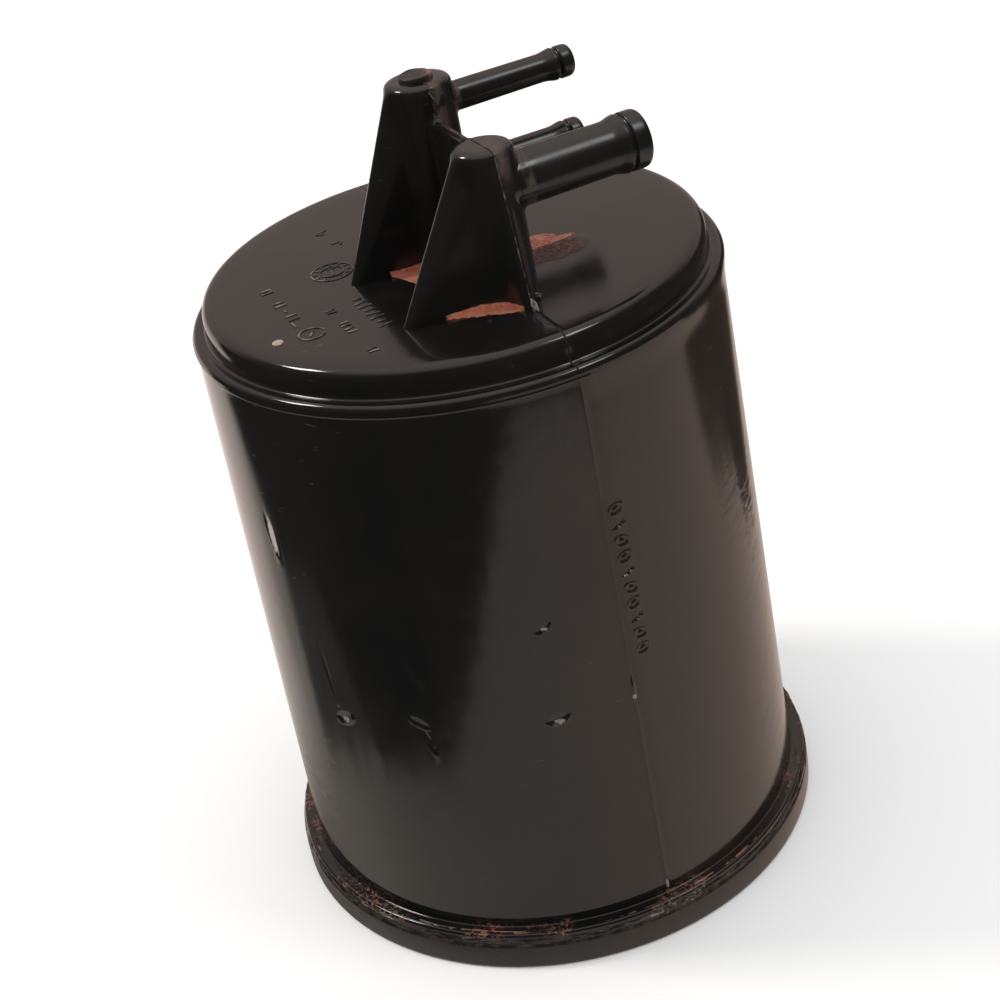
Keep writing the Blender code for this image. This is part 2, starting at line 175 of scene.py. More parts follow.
def toward(azimuth, elevation):
    """The direction at an azimuth, counted from the camera's side towards the nipples, and an elevation."""
    turn = math.radians(azimuth) + CAMERA_AZIMUTH
    lift = math.radians(elevation)
    return Vector((math.sin(turn) * math.cos(lift), -math.cos(turn) * math.cos(lift), math.sin(lift)))


def share_along(direction):
    """How far the way looked in goes along a direction."""
    return way.node("VectorMath", {"operation": "DOT_PRODUCT"}, {0: way, 1: direction}, out=1)


DEGREES = 180.0 / math.pi
ROOM_PALE = (1.1, 1.0, 0.92)
azimuth = way.math("ARCTAN2", share_along(toward(90.0, 0.0)), share_along(toward(0.0, 0.0))) * DEGREES
elevation = way.math("ARCSINE", share_along(Vector((0.0, 0.0, 1.0)))) * DEGREES
uneven = (way.noise(75.0, 3.0) - 0.5) * 2.6

# The bench that the can stands on is warm and pale, and darker far round to the left.
bench = azimuth.rise(-30.0, 40.0).blend((0.66, 0.595, 0.525), (0.80, 0.65, 0.56))
bench = azimuth.rise(60.0, 140.0).blend(bench, (0.74, 0.58, 0.49))
bench = (azimuth.rise(-85.0, -150.0) * elevation.rise(-33.5, -39.0)).blend(bench, (0.22, 0.18, 0.15))

# Above it the room is dim in front and lighter behind, under a pale ceiling, with a window on the left.
behind = abs(azimuth).rise(98.0, 135.0)
above = elevation.rise(30.0, 75.0).blend((0.075, 0.068, 0.062), ROOM_PALE)
above = behind.blend(above, elevation.rise(24.0, 70.0).blend((0.50, 0.405, 0.375), ROOM_PALE))
room = elevation.rise(-3.0, 8.0).blend(bench, above)
window = azimuth.rise(-122.0, -134.0) * elevation.rise(-38.0, -27.0) * elevation.rise(8.0, -4.0)
room = window.blend(room, (1.15, 0.97, 0.89))

# Dark furniture stands at the bench's far edge, whose elevation changes in smooth steps round the room.
shade_edge = azimuth.rise(-131.0, -112.0, -25.0, -30.4)
for start, end, before, after in (
    (-100.0, -78.0, 0.0, -5.8),
    (-52.0, 26.0, 0.0, 10.4),
    (45.0, 62.0, 0.0, 2.2),
    (94.0, 110.0, 0.0, -6.0),
    (128.0, 134.0, 0.0, -1.8),
    (146.0, 156.0, 0.0, 5.5),
):
    shade_edge = shade_edge + azimuth.rise(start, end, before, after)
shade_edge = shade_edge + uneven * azimuth.rise(-40.0, 90.0, 0.25, 0.8)
gloom = (elevation - shade_edge).rise(-0.4, 0.9) * elevation.rise(14.0, 2.0)
gloom = gloom * azimuth.rise(-133.0, -126.0) * azimuth.rise(160.0, 152.0)

# A thinner shadow hangs over the bench on the left.
veil = azimuth.rise(-120.0, -114.0) * (azimuth + uneven * 2.0).rise(-70.0, -76.0)
veil = veil * (elevation + uneven * 0.4).rise(-36.2, -34.6) * elevation.rise(-20.0, -27.0) * 0.8
dusk = azimuth.rise(-52.0, -36.0).blend((0.016, 0.019, 0.022), (0.060, 0.054, 0.048))
dusk = azimuth.rise(95.0, 140.0).blend(dusk, (0.055, 0.040, 0.032))
room = gloom.most(veil).blend(room, dusk)
lamp = air.nodes["Background"]
glossy = Signal(air, air.nodes.new("ShaderNodeLightPath").outputs["Is Glossy Ray"])
air.links.new(glossy.blend((1.0, 1.0, 1.0), room).output, lamp.inputs["Color"])
lamp.inputs["Strength"].default_value = 1.0

floor_mesh = bpy.data.meshes.new("floor")
floor_bm = bmesh.new()
bmesh.ops.create_circle(floor_bm, cap_ends=True, segments=96, radius=6.0)
floor_bm.to_mesh(floor_mesh)
floor_bm.free()
floor = bpy.data.objects.new("floor", floor_mesh)
scene.collection.objects.link(floor)
floor.visible_glossy = False
floor_paint = bpy.data.materials.new("pale_floor")
floor_paint.use_nodes = True
floor_shader = floor_paint.node_tree.nodes["Principled BSDF"]
floor_shader.inputs["Base Color"].default_value = (0.93, 0.93, 0.925, 1.0)
floor_shader.inputs["Roughness"].default_value = 0.9
floor_shader.inputs["Specular IOR Level"].default_value = 0.1
floor_mesh.materials.append(floor_paint)


def soft_box(name, azimuth, elevation, distance, side, power, colour):
    """A square area light that faces the can's top."""
    light = bpy.data.lights.new(name, "AREA")
    light.size = side
    light.energy = power
    light.color = colour
    made = bpy.data.objects.new(name, light)
    scene.collection.objects.link(made)
    away = toward(azimuth, elevation)
    place = Matrix.Translation(Vector((0.0, 0.0, 0.15)) + away * distance)
    made.matrix_world = place @ away.to_track_quat("Z", "Y").to_matrix().to_4x4()


soft_box("left_box", -106.0, 50.0, 1.6, 0.30, 9.0, (1.0, 0.93, 0.88))
soft_box("right_box", 66.0, 57.0, 1.6, 0.40, 3.2, (0.96, 0.98, 1.0))

# ----------------------------------------------------------------------------
# Housing shell. The can itself: glass-filled black nylon in one moulding with a stepped top disc, a rounded
# shoulder, a drafted wall and a foot flange, welded to the base cap. It is worn, with a few dents and rub
# marks, one of which also carries a painted highlight.
# ----------------------------------------------------------------------------
MM = 0.001
TOP_Z = 184.0
DISC_R = 67.9
SHOULDER_R = 72.0
SHOULDER_Z = 176.8
BODY_TOP_R = 71.4
BODY_TOP_Z = 173.8
BODY_FOOT_R = 74.3
FLANGE_R = 78.0
FLANGE_Z = 9.2
FLANGE_TOP_Z = 11.5
WALL = 2.6
CEILING_Z = TOP_Z - WALL


def eased(corners, segments=6):
    """A profile with rounded corners. Each corner is (radius, height), and maybe the length to ease it by."""
    points = []
    for number, (r, z, *ease) in enumerate(corners):
        here = Vector((r, z))
        if not ease:
            points.append(here)
            continue
        before = (Vector(corners[number - 1][:2]) - here).normalized() * ease[0]
        after = (Vector(corners[(number + 1) % len(corners)][:2]) - here).normalized() * ease[0]
        for step in range(segments + 1):
            share = step / segments
            points.append(here + before * (1.0 - share) ** 2 + after * share**2)
    return points


def lathe(profile, steps, along_x_at=None, at=(0.0, 0.0)):
    """Spins a profile about Z, or about a line along X at the (y, z) of along_x_at, as a closed bmesh."""
    bm = bmesh.new()
    verts = [bm.verts.new((r, 0.0, z)) for r, z in profile]
    edges = [bm.edges.new(pair) for pair in zip(verts, verts[1:])]
    if profile[0][0] > 1e-6 or profile[-1][0] > 1e-6:
        edges.append(bm.edges.new((verts[-1], verts[0])))
    bmesh.ops.spin(
        bm,
        geom=verts + edges,
        cent=(0, 0, 0),
        axis=(0, 0, 1),
        angle=math.tau,
        steps=steps,
        use_merge=True,
    )
    bmesh.ops.remove_doubles(bm, verts=bm.verts, dist=1e-4)
    bmesh.ops.recalc_face_normals(bm, faces=bm.faces)
    if along_x_at:
        bm.transform(Matrix.Translation((0.0, *along_x_at)) @ Matrix.Rotation(math.radians(90.0), 4, "Y"))
    else:
        bm.transform(Matrix.Translation((*at, 0.0)))
    return bm


def piece(name, bm, material, body, replaced=(), smooth_below=38.0):
    """Turns a bmesh in millimetres into a piece that rides on a body."""
    bm.transform(Matrix.Scale(MM, 4))
    mesh = bpy.data.meshes.new(name)
    bm.to_mesh(mesh)
    bm.free()
    mesh.materials.append(material)
    mesh.shade_smooth()
    mesh.set_sharp_from_angle(angle=math.radians(smooth_below))
    made = bpy.data.objects.new(name, mesh)
    scene.collection.objects.link(made)
    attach(made, body)
    if replaced:
        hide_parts(*replaced)
    return made


def finish(name, paint, **constants):
    """A Principled material. paint(place) returns the sockets that vary, by name; the rest are constants."""
    made = bpy.data.materials.new(name)
    made.use_nodes = True
    tree = made.node_tree
    shader = tree.nodes["Principled BSDF"]
    for key, value in constants.items():
        shader.inputs[key.replace("_", " ")].default_value = value
    place = Signal(tree, tree.nodes.new("ShaderNodeTexCoord").outputs["Object"])
    for key, value in paint(place).items():
        tree.links.new(value.output, shader.inputs[key])
    return made


def bumped(height, distance, strength=1.0, normal=None):
    """A Normal from a height that varies from 0 to 1 over the given number of millimetres."""
    ends = {"Height": height, "Distance": distance * MM, "Strength": strength}
    if normal:
        ends["Normal"] = normal
    return height.node("Bump", None, ends)


RUST = (0.42, 0.105, 0.055)
RUST_PALE = (0.50, 0.20, 0.12)


def near(place, centre, reach):
    """0 at a point and 1 at an ellipsoid of the given half sizes about it, all in millimetres."""
    moved = place.node("VectorMath", {"operation": "SUBTRACT"}, {0: place, 1: Vector(centre) * MM})
    scaled = moved.node("VectorMath", {"operation": "DIVIDE"}, {0: moved, 1: Vector(reach) * MM})
    return scaled.node("VectorMath", {"operation": "LENGTH"}, {0: scaled}, out=1)


def on_wall(angle, z):
    """A point on the wall at an angle about Z."""
    r = BODY_TOP_R + (BODY_FOOT_R - BODY_TOP_R) * (BODY_TOP_Z - z) / (BODY_TOP_Z - FLANGE_TOP_Z)
    return Vector((r * math.cos(math.radians(angle)), r * math.sin(math.radians(angle)), z))


def nearest(place, spots):
    """The least of near() over several (centre, reach)."""
    least = near(place, *spots[0])
    for spot in spots[1:]:
        least = least.least(near(place, *spot))
    return least


def foot_dust(place, x, y, z, dust, crumb):
    """Shares of orange and of brown dust on the disc.

    The orange lies before the front tower, before the rear fin and between the nipples' feet, and the brown
    lies in front of the last.
    """
    jag = (dust - 0.5) * 3.2 + (crumb - 0.5) * 1.6
    low = (z + (dust - 0.5) * -1.6).rise(TOP_Z + 1.3, TOP_Z + 0.9) * z.rise(TOP_Z - 1.0, TOP_Z - 0.4)
    front = (y + 39.4 + (x + 17.0) * 0.60 + jag).rise(-0.3, 0.4) * (x + jag).rise(-18.4, -17.4)
    front = front * x.rise(-0.9, -2.2) * y.rise(-30.0, -34.0)
    rear = (x + 18.4 + (y + 3.0) * 0.33 + jag * 0.5).rise(-0.3, 0.5) * y.rise(-14.0, -12.0)
    rear = rear * x.rise(-4.0, -7.0) * y.rise(3.0, 1.0)
    side = nearest(place, [((18.5, -12.5, TOP_Z), (7.0, 4.4, 3.0)), ((24.0, -15.2, TOP_Z), (6.0, 1.6, 3.0))])
    side = (side + jag * 0.16).rise(1.02, 0.9) * crumb.rise(0.33, 0.46)
    heap = near(place, (19.0, -20.0, TOP_Z), (12.0, 7.0, 3.0)) + jag * 0.2
    brown = heap.rise(1.15, 0.5) * (0.7 + crumb * 0.6).least(1.0) * low
    return front.most(rear).most(side) * low, brown


def root_dust(x, y, z, dust, mottle):
    """The share of brown dust in the corners between towers and nipples."""
    root = x.rise(6.5, 8.5) * x.rise(10.4, 9.4) * z.rise(TOP_Z + 12.0, TOP_Z + 22.0)
    tower_top = (x - 0.6).rise(-1.2, 0.4) * x.rise(5.0, 1.5)
    tower_top = tower_top * z.rise(TOP_Z + 26.0, TOP_Z + 38.0) * y.rise(8.0, 2.0)
    return root.most(tower_top) * (dust * 0.6 + mottle * 0.4).rise(0.36, 0.62)


FLAKED_SPOTS = [
    (on_wall(-155.6, 77.4), (1.7, 1.7, 0.7)),
    (on_wall(-106.6, 79.3), (1.5, 1.5, 0.6)),
    (on_wall(-106.2, 108.2), (1.0, 1.0, 0.5)),
    ((0.0, -73.2, 79.5), (0.8, 1.2, 0.8)),
    ((0.0, -74.2, 14.5), (0.5, 1.2, 1.8)),
]


def black_nylon(place):
    """Glossy black with cloudy wear, scratches, dusty tower roots and orange dust at the towers' feet."""
    x, y, z = (axis * (1.0 / MM) for axis in place.parts())
    cloud = place.noise(46.0, 3.0)
    mottle = place.noise(7.0, 4.0, 0.6)
    grain = place.noise(0.7, 2.0, 0.6)
    dust = place.noise(3.2, 4.0, 0.65)
    crumb = place.noise(1.1, 3.0, 0.7)
    scratch = place.stretch(4.0, 4.0, 0.5).noise(1.6, 2.0, 0.7).rise(0.70, 0.74) * cloud.rise(0.48, 0.6)
    rust, brown = foot_dust(place, x, y, z, dust, crumb)
    root = root_dust(x, y, z, dust, mottle)
    right = x.rise(-1.0, 6.0) * z.rise(TOP_Z - 8.0, TOP_Z - 12.0)
    flaked = (nearest(place, FLAKED_SPOTS) + (crumb - 0.5) * 1.6).rise(1.0, 0.75)
    # A pale rubbed patch on the long dent at -166 degrees, which also stands for the dent's bright highlight
    # as a painted highlight.
    scuff_and_highlight = (near(place, on_wall(-166.4, 132.0), (1.6, 1.6, 6.4)) + (crumb - 0.5) * 0.9).rise(1.0, 0.6)
    haze = near(place, on_wall(-95.0, 152.0), (20.0, 9.0, 26.0)).rise(1.2, 0.2) * mottle.rise(0.4, 0.7)
    crumbs = z.rise(FLANGE_TOP_Z + 1.8, FLANGE_TOP_Z + 0.2) * place.noise(16.0, 3.0).rise(0.52, 0.62)
    crumbs = crumbs * crumb.rise(0.5, 0.58)

    base = cloud.rise(0.3, 0.7).blend((0.0048, 0.0048, 0.0047), (0.0082, 0.0074, 0.0066))
    base = (mottle.rise(0.55, 0.8) * 0.4).blend(base, (0.014, 0.0115, 0.010))
    for share, colour in (
        (right * 0.7, (0.0185, 0.0122, 0.0098)),
        (scratch * 0.25, (0.10, 0.09, 0.085)),
        (root * 0.75, (0.085, 0.050, 0.038)),
        (flaked * 0.55, (0.36, 0.28, 0.24)),
        (scuff_and_highlight * 0.8, (0.46, 0.38, 0.33)),
        (haze * 0.35, (0.035, 0.031, 0.027)),
        (crumbs * 0.8, (0.20, 0.075, 0.045)),
        (brown * 0.9, crumb.rise(0.48, 0.66).blend((0.040, 0.011, 0.007), (0.26, 0.065, 0.032))),
        (rust, (crumb * 0.6 + dust * 0.4).rise(0.4, 0.62).blend(RUST, RUST_PALE)),
    ):
        base = share.blend(base, colour)

    cracks = abs(x).rise(0.36, 0.18) * z.rise(TOP_Z - 9.0, TOP_Z - 8.0)
    cracks = cracks * z.rise(TOP_Z + 1.0, TOP_Z + 0.3) * y.rise(-40.0, -48.0)
    on_disc = z.rise(TOP_Z - 0.3, TOP_Z - 0.05) * z.rise(TOP_Z + 0.6, TOP_Z + 0.3)
    tails = x.rise(9.0, 13.0) * z.rise(TOP_Z + 8.0, TOP_Z + 12.0)
    tower_feet = z.rise(TOP_Z + 0.4, TOP_Z + 1.2) * z.rise(TOP_Z + 14.0, TOP_Z + 3.0)
    rough = 0.06 + cloud.rise(0.35, 0.75) * 0.04 + mottle.rise(0.35, 0.8) * 0.04 + scratch * 0.25
    rough = rough + tails * 0.13 + z.rise(TOP_Z + 1.0, TOP_Z + 3.0) * 0.05 + scuff_and_highlight * 0.4
    rough = rough + tower_feet * 0.12
    rough = rough + on_disc * 0.07 + right * 0.05 + haze * 0.15 + cracks * 0.7
    rough = (rough + (rust + brown + flaked + crumbs + root) * 0.5).least(0.95)

    flanks = x.rise(26.0, 50.0).most(x.rise(-69.5, -72.5)) * z.rise(138.0, 108.0)
    ripple = place.stretch(2.4, 2.4, 0.9).noise(3.8, 2.0, 0.5, 0.8) * flanks
    relief = bumped(grain, 0.0022)
    relief = bumped(place.noise(24.0, 2.0), 0.05, 1.0, relief)
    relief = bumped(ripple, 0.09, 1.0, relief)
    relief = bumped(crumb * (rust + brown + flaked).least(1.0), 0.5, 1.0, relief)
    return {"Base Color": base, "Roughness": rough, "Normal": relief}


housing_nylon = finish("housing_nylon", black_nylon, IOR=1.5)

GROOVE_R = -0.15
RIDGE_R = 0.35
WALL_LEVELS = 72
wall_profile = []
for step in range(1, WALL_LEVELS):
    share = step / WALL_LEVELS
    level_r = BODY_TOP_R + (BODY_FOOT_R - BODY_TOP_R) * share
    wall_profile.append((level_r, BODY_TOP_Z + (FLANGE_TOP_Z - BODY_TOP_Z) * share))
shell_corners = [
    (0.0, TOP_Z),
    (40.0, TOP_Z),
    (60.0, TOP_Z),
    (DISC_R, TOP_Z, 3.4),
    (DISC_R, SHOULDER_Z - 0.5, 1.6),
    (SHOULDER_R, SHOULDER_Z + 0.1, 2.6),
    (SHOULDER_R, BODY_TOP_Z + 0.9, 0.3),
    (BODY_TOP_R + GROOVE_R, BODY_TOP_Z + 0.6, 0.2),
    (BODY_TOP_R + RIDGE_R, BODY_TOP_Z - 0.2, 0.2),
    (BODY_TOP_R, BODY_TOP_Z - 0.6, 0.2),
    *wall_profile,
    (BODY_FOOT_R, FLANGE_TOP_Z, 0.6),
    (FLANGE_R, FLANGE_TOP_Z, 0.9),
    (FLANGE_R, FLANGE_Z),
    (BODY_FOOT_R - WALL, FLANGE_Z),
    (BODY_FOOT_R - WALL, 20.8),
    (69.8, 20.8),
    (69.8, 22.5),
    (71.3, 24.0),
    (BODY_TOP_R - WALL, 172.0),
    (BODY_TOP_R - WALL, 175.5),
    (DISC_R - WALL, 176.0),
    (DISC_R - WALL, CEILING_Z),
    (0.0, CEILING_Z),
]
shell = lathe(eased(shell_corners), 240)

# Only the -X half of the mould has the groove under the shoulder. The other half runs out smoothly.
RUN_OUT_TOP_Z = BODY_TOP_Z + 1.2
RUN_OUT = 7.2
for vert in shell.verts:
    r = vert.co.xy.length
    if vert.co.x > 0.05 and r > BODY_TOP_R - 1.0 and RUN_OUT_TOP_Z - RUN_OUT < vert.co.z < RUN_OUT_TOP_Z:
        share = (RUN_OUT_TOP_Z - vert.co.z) / RUN_OUT
        smooth_r = SHOULDER_R + (BODY_TOP_R + 0.1 - SHOULDER_R) * share * share * (3.0 - 2.0 * share)
        vert.co.xy *= smooth_r / r

# The mould's halves met in the plane X = 0 and left a fine raised line down the wall and a groove above it.
SEAM_HALF = 0.24
SEAM_LIFT = 0.11
SEAM_DEEP = -0.2
SEAM_START_R = 39.0


def bevelled(bm, edges, width):
    """Replaces edges with a rounded strip of two faces."""
    shape = {"affect": "EDGES", "segments": 2, "profile": 0.5, "material": -1, "clamp_overlap": True}
    bmesh.ops.bevel(bm, geom=edges, offset=width, offset_type="OFFSET", **shape)


def on_seam(edge):
    """Whether an edge of the shell lies on its outside in the plane X = 0, clear of the towers."""
    points = [vert.co for vert in edge.verts]
    inside = all(p.z < CEILING_Z + 0.1 and abs(p.y) < BODY_TOP_R - WALL + 1.5 for p in points)
    in_plane = all(abs(p.x) < 0.01 and p.z > FLANGE_TOP_Z - 0.1 for p in points)
    return in_plane and not inside and all(p.xy.length > SEAM_START_R for p in points)


bevelled(shell, [edge for edge in shell.edges if on_seam(edge)], SEAM_HALF)
shell.normal_update()
for vert in shell.verts:
    r = vert.co.xy.length
    outside = vert.co.z > TOP_Z - 0.1 or r > DISC_R - 3.0
    outward = vert.normal.xy.dot(vert.co.xy) > 0 or vert.normal.z > 0.9
    upright = vert.co.z > FLANGE_TOP_Z + 0.2 and vert.normal.z > -0.5
    if abs(vert.co.x) < 0.02 and outside and upright and outward and r > 50.0:
        vert.co += vert.normal * (SEAM_LIFT if vert.co.z < BODY_TOP_Z else SEAM_DEEP)


def refined(bm, chosen, cuts):
    """Cuts the chosen faces finer, so that small marks can be pressed into them."""
    edges = {edge for face in bm.faces if chosen(face.calc_center_median()) for edge in face.edges}
    bmesh.ops.subdivide_edges(bm, edges=list(edges), cuts=cuts, use_grid_fill=True)


def pressed(bm, angle, z, half_wide, half_high, depth, lip, turn=0.0, ring=0.0):
    """Presses an oval hollow, or a ring of the given width, into the wall, with a lip on its lower side."""
    centre = on_wall(angle, z)
    outward = Vector((centre.x, centre.y, 0.0)).normalized()
    across = Vector((-outward.y, outward.x, 0.0))
    c, s = math.cos(math.radians(turn)), math.sin(math.radians(turn))
    for vert in bm.verts:
        away = vert.co - centre
        if away.length > 12.0 or abs(away.dot(outward)) > 1.6:
            continue
        u, v = away.dot(across), away.z
        u, v = (c * u + s * v) / half_wide, (c * v - s * u) / half_high
        rho = math.hypot(u, v)
        if ring:
            hollow = math.exp(-(((rho - 1.0) / ring) ** 2)) * (1.0 if u < 0.75 else 0.2)
            ridge = math.exp(-(((rho - 1.0 - 1.7 * ring) / ring) ** 2))
        else:
            hollow = math.exp(-(rho**4))
            ridge = math.exp(-(((rho - 1.15) / 0.22) ** 2)) * max(0.0, 0.35 - v)
        vert.co += outward * (ridge * lip - hollow * depth)


# Each dent is an angle about Z, a height, a half width and height, a depth, a lip's height and a turn.
DENTS = (
    (-166.6, 132.0, 1.4, 6.4, 0.12, 0.10, 8.0),
    (-155.8, 78.0, 2.6, 1.3, 0.40, 0.50, 24.0),
    (-158.0, 93.0, 0.7, 9.0, 0.10, 0.05, 6.0),
    (-136.0, 82.0, 2.6, 1.0, 0.07, 0.05, -30.0),
    (-134.5, 76.0, 0.6, 4.0, 0.06, 0.04, 12.0),
    (-106.8, 80.0, 2.5, 1.2, 0.38, 0.50, 12.0),
    (-106.4, 108.5, 1.8, 0.8, 0.25, 0.35, 30.0),
    (-106.8, 96.0, 0.5, 7.0, 0.06, 0.05, 4.0),
    (-90.0, 82.0, 0.5, 3.2, -0.35, 0.0, 0.0),
)
for angle, z, half_wide, half_high, depth, lip, turn in DENTS:
    middle = on_wall(angle, z)
    reach = max(half_wide, half_high) + 2.0
    refined(shell, lambda at: (at - middle).length < reach and at.xy.length > BODY_TOP_R - 1.0, 4)
    pressed(shell, angle, z, half_wide, half_high, depth, lip, turn)

# A row of blank stamped marks beside the seam stands in for the number that such a can carries.
STAMP_ANGLE = -86.7
STAMP_TOP_Z = 135.4
STAMP_PITCH = 4.75
refined(
    shell,
    lambda at: abs(math.degrees(math.atan2(at.y, at.x)) - STAMP_ANGLE) < 2.6
    and 90.0 < at.z < 139.0
    and at.xy.length > BODY_TOP_R - 1.0,
    7,
)
for number in range(10):
    angle = STAMP_ANGLE - 0.4 + number * 0.1
    z = STAMP_TOP_Z - number * STAMP_PITCH
    if number % 3 == 1:
        pressed(shell, angle, z, 1.7, 0.42, 0.34, 0.16, 14.0)
        pressed(shell, angle + 0.9, z + 0.9, 0.42, 1.0, 0.34, 0.16, -10.0)
    else:
        pressed(shell, angle, z, 1.2, 0.85, 0.30, 0.10, (20.0, 0.0, 160.0)[number % 3], 0.36)

piece("housing_shell", shell, housing_nylon, "canister", ["housing"])

# ----------------------------------------------------------------------------
# Towers. Two drafted columns moulded with the shell, each with a fin towards -X and a rib along Y, a web
# that ties them together and the roots of the three nipples. The front one feeds the engine, the rear one
# the tank.
# ----------------------------------------------------------------------------
FRONT_Y = -35.4
FRONT_R = 7.9
FRONT_TOP_Z = TOP_Z + 39.4
REAR_R = 8.9
REAR_TOP_Z = TOP_Z + 47.9
FIN_FOOT_X = -29.0
FIN_ROOT_R = 5.6
RIB_ROOT_R = 4.2
FIN_EDGE_R = 1.25
RIB_REACH = 15.2
WEB_TOP_Z = TOP_Z + 38.4
LARGE_Z = TOP_Z + 27.9
SMALL_HIGH_Z = TOP_Z + 40.4
SMALL_LOW_Z = TOP_Z + 20.4
DEEP_Z = TOP_Z - 9.0
SUNK_Z = TOP_Z - 2.5
LARGE_R = 6.9
SMALL_R = 3.8
LARGE_BORE_R = 5.0
SMALL_BORE_R = 2.0
BORE_END_X = 18.5
PORT_R = 4.7


def hull(rounds):
    """The convex skin of several flat circles, each given as (x, y, z, radius)."""
    bm = bmesh.new()
    for x, y, z, radius in rounds:
        bmesh.ops.create_circle(bm, segments=32, radius=radius, matrix=Matrix.Translation((x, y, z)))
    verts = set(bm.verts)
    made = bmesh.ops.convex_hull(bm, input=bm.verts)
    spare = {item for item in made["geom_interior"] + made["geom_unused"] if item in verts}
    bmesh.ops.delete(bm, geom=list(spare), context="VERTS")
    return bm


def joined(shapes):
    """One bmesh that holds the loose shapes of several."""
    whole = bmesh.new()
    for shape in shapes:
        spare = bpy.data.meshes.new("spare")
        shape.to_mesh(spare)
        shape.free()
        whole.from_mesh(spare)
        bpy.data.meshes.remove(spare)
    return whole


def remade(bm, steps):
    """The bmesh after a stack of modifiers, each given as (type, settings)."""
    mesh = bpy.data.meshes.new("blank")
    bm.to_mesh(mesh)
    bm.free()
    blank = bpy.data.objects.new("blank", mesh)
    scene.collection.objects.link(blank)
    for kind, settings in steps:
        modifier = blank.modifiers.new(kind.lower(), kind)
        for key, value in settings.items():
            setattr(modifier, key, value)
    result = bmesh.new()
    graph = bpy.context.evaluated_depsgraph_get()
    result.from_object(blank, graph)
    bpy.data.objects.remove(blank)
    bpy.data.meshes.remove(mesh)
    return result


def fused(shapes, voxel, fillet, smoothing):
    """Overlapping shapes as one skin, with inner corners rounded by swelling it and shrinking it back."""
    remesh = ("REMESH", {"mode": "VOXEL", "voxel_size": voxel})
    grow = ("DISPLACE", {"strength": fillet, "mid_level": 0.0})
    shrink = ("DISPLACE", {"strength": -fillet, "mid_level": 0.0})
    soften = ("SMOOTH", {"factor": 0.5, "iterations": smoothing})
    return remade(joined(shapes), [remesh, grow, remesh, shrink, remesh, soften])


def kept_beyond(bm, point, normal):
    """Keeps what lies on the normal's side of a plane."""
    geom = bm.verts[:] + bm.edges[:] + bm.faces[:]
    bmesh.ops.bisect_plane(bm, geom=geom, plane_co=point, plane_no=normal, clear_inner=True)


def cut_off(bm, z, sink):
    """Cuts away what is below a height, then closes the cut with a plug that reaches down by sink."""
    kept_beyond(bm, (0, 0, z), (0, 0, 1))
    rim = [edge for edge in bm.edges if edge.is_boundary]
    sunk = bmesh.ops.extrude_edge_only(bm, edges=rim)["geom"]
    sunk = [item for item in sunk if isinstance(item, bmesh.types.BMVert)]
    bmesh.ops.translate(bm, verts=sunk, vec=(0, 0, -sink))
    bmesh.ops.holes_fill(bm, edges=[edge for edge in bm.edges if edge.is_boundary])
    bmesh.ops.recalc_face_normals(bm, faces=bm.faces)


def tower(centre_y, radius, top_z, rib_side):
    """The column, fin and rib of one tower in one skin, with wide hollows between them."""
    column_corners = [(0.0, top_z), (radius, top_z, 2.0), (radius + 0.3, DEEP_Z), (0.0, DEEP_Z)]
    column = lathe(eased(column_corners), 48, at=(0.0, centre_y))
    slope = (FIN_FOOT_X + radius + 1.0) / (top_z - 2.8 - TOP_Z)
    fin = [
        (0.0, centre_y, DEEP_Z, FIN_ROOT_R),
        (0.0, centre_y, top_z - 2.8, FIN_ROOT_R),
        (FIN_FOOT_X + FIN_EDGE_R + slope * (TOP_Z - DEEP_Z), centre_y, DEEP_Z, FIN_EDGE_R),
        (-radius - 1.0 + FIN_EDGE_R, centre_y, top_z - 2.8, FIN_EDGE_R),
    ]
    reach = RIB_REACH - FIN_EDGE_R
    near_top = radius + 0.2 - FIN_EDGE_R
    slope = (reach - near_top) / (top_z - 2.1 - TOP_Z)
    rib = [
        (0.0, centre_y, DEEP_Z, RIB_ROOT_R),
        (0.0, centre_y, top_z - 2.1, RIB_ROOT_R),
        (0.0, centre_y + rib_side * (reach + slope * (TOP_Z - DEEP_Z)), DEEP_Z, FIN_EDGE_R),
        (0.0, centre_y + rib_side * near_top, top_z - 2.1, FIN_EDGE_R),
    ]
    made = fused([column, hull(fin), hull(rib)], 0.55, 4.5, 2)
    cut_off(made, SUNK_Z, 0.1)
    return made


def block(x, y, z):
    """A plain box from its (low, high) on each axis."""
    bm = bmesh.new()
    bmesh.ops.create_cube(bm, size=1.0)
    span = [high - low for low, high in (x, y, z)]
    centre = [(high + low) / 2 for low, high in (x, y, z)]
    bm.transform(Matrix.Translation(centre) @ Matrix.Diagonal((*span, 1.0)))
    return bm


def stub(radius, centre_y, z, reach):
    """The start of a nipple, a little thinner than the nipple that carries on from it."""
    return lathe([(0.0, 1.0), (radius + 0.1, 1.0), (radius - 0.25, reach), (0.0, reach)], 40, (centre_y, z))


def bored(bm, drills):
    """The bmesh with several shapes cut out of it, one after the other."""
    blanks = []
    for drill in drills:
        mesh = bpy.data.meshes.new("drill")
        drill.to_mesh(mesh)
        drill.free()
        blanks.append(bpy.data.objects.new("drill", mesh))
        scene.collection.objects.link(blanks[-1])
    cut = {"operation": "DIFFERENCE", "solver": "EXACT"}
    result = remade(bm, [("BOOLEAN", {**cut, "object": blank}) for blank in blanks])
    for blank in blanks:
        mesh = blank.data
        bpy.data.objects.remove(blank)
        bpy.data.meshes.remove(mesh)
    return result


def rod(radius, low, high, at=(0.0, 0.0), along_x_at=None):
    """A plain round bar."""
    return lathe([(0.0, high), (radius, high), (radius, low), (0.0, low)], 48, along_x_at, at)


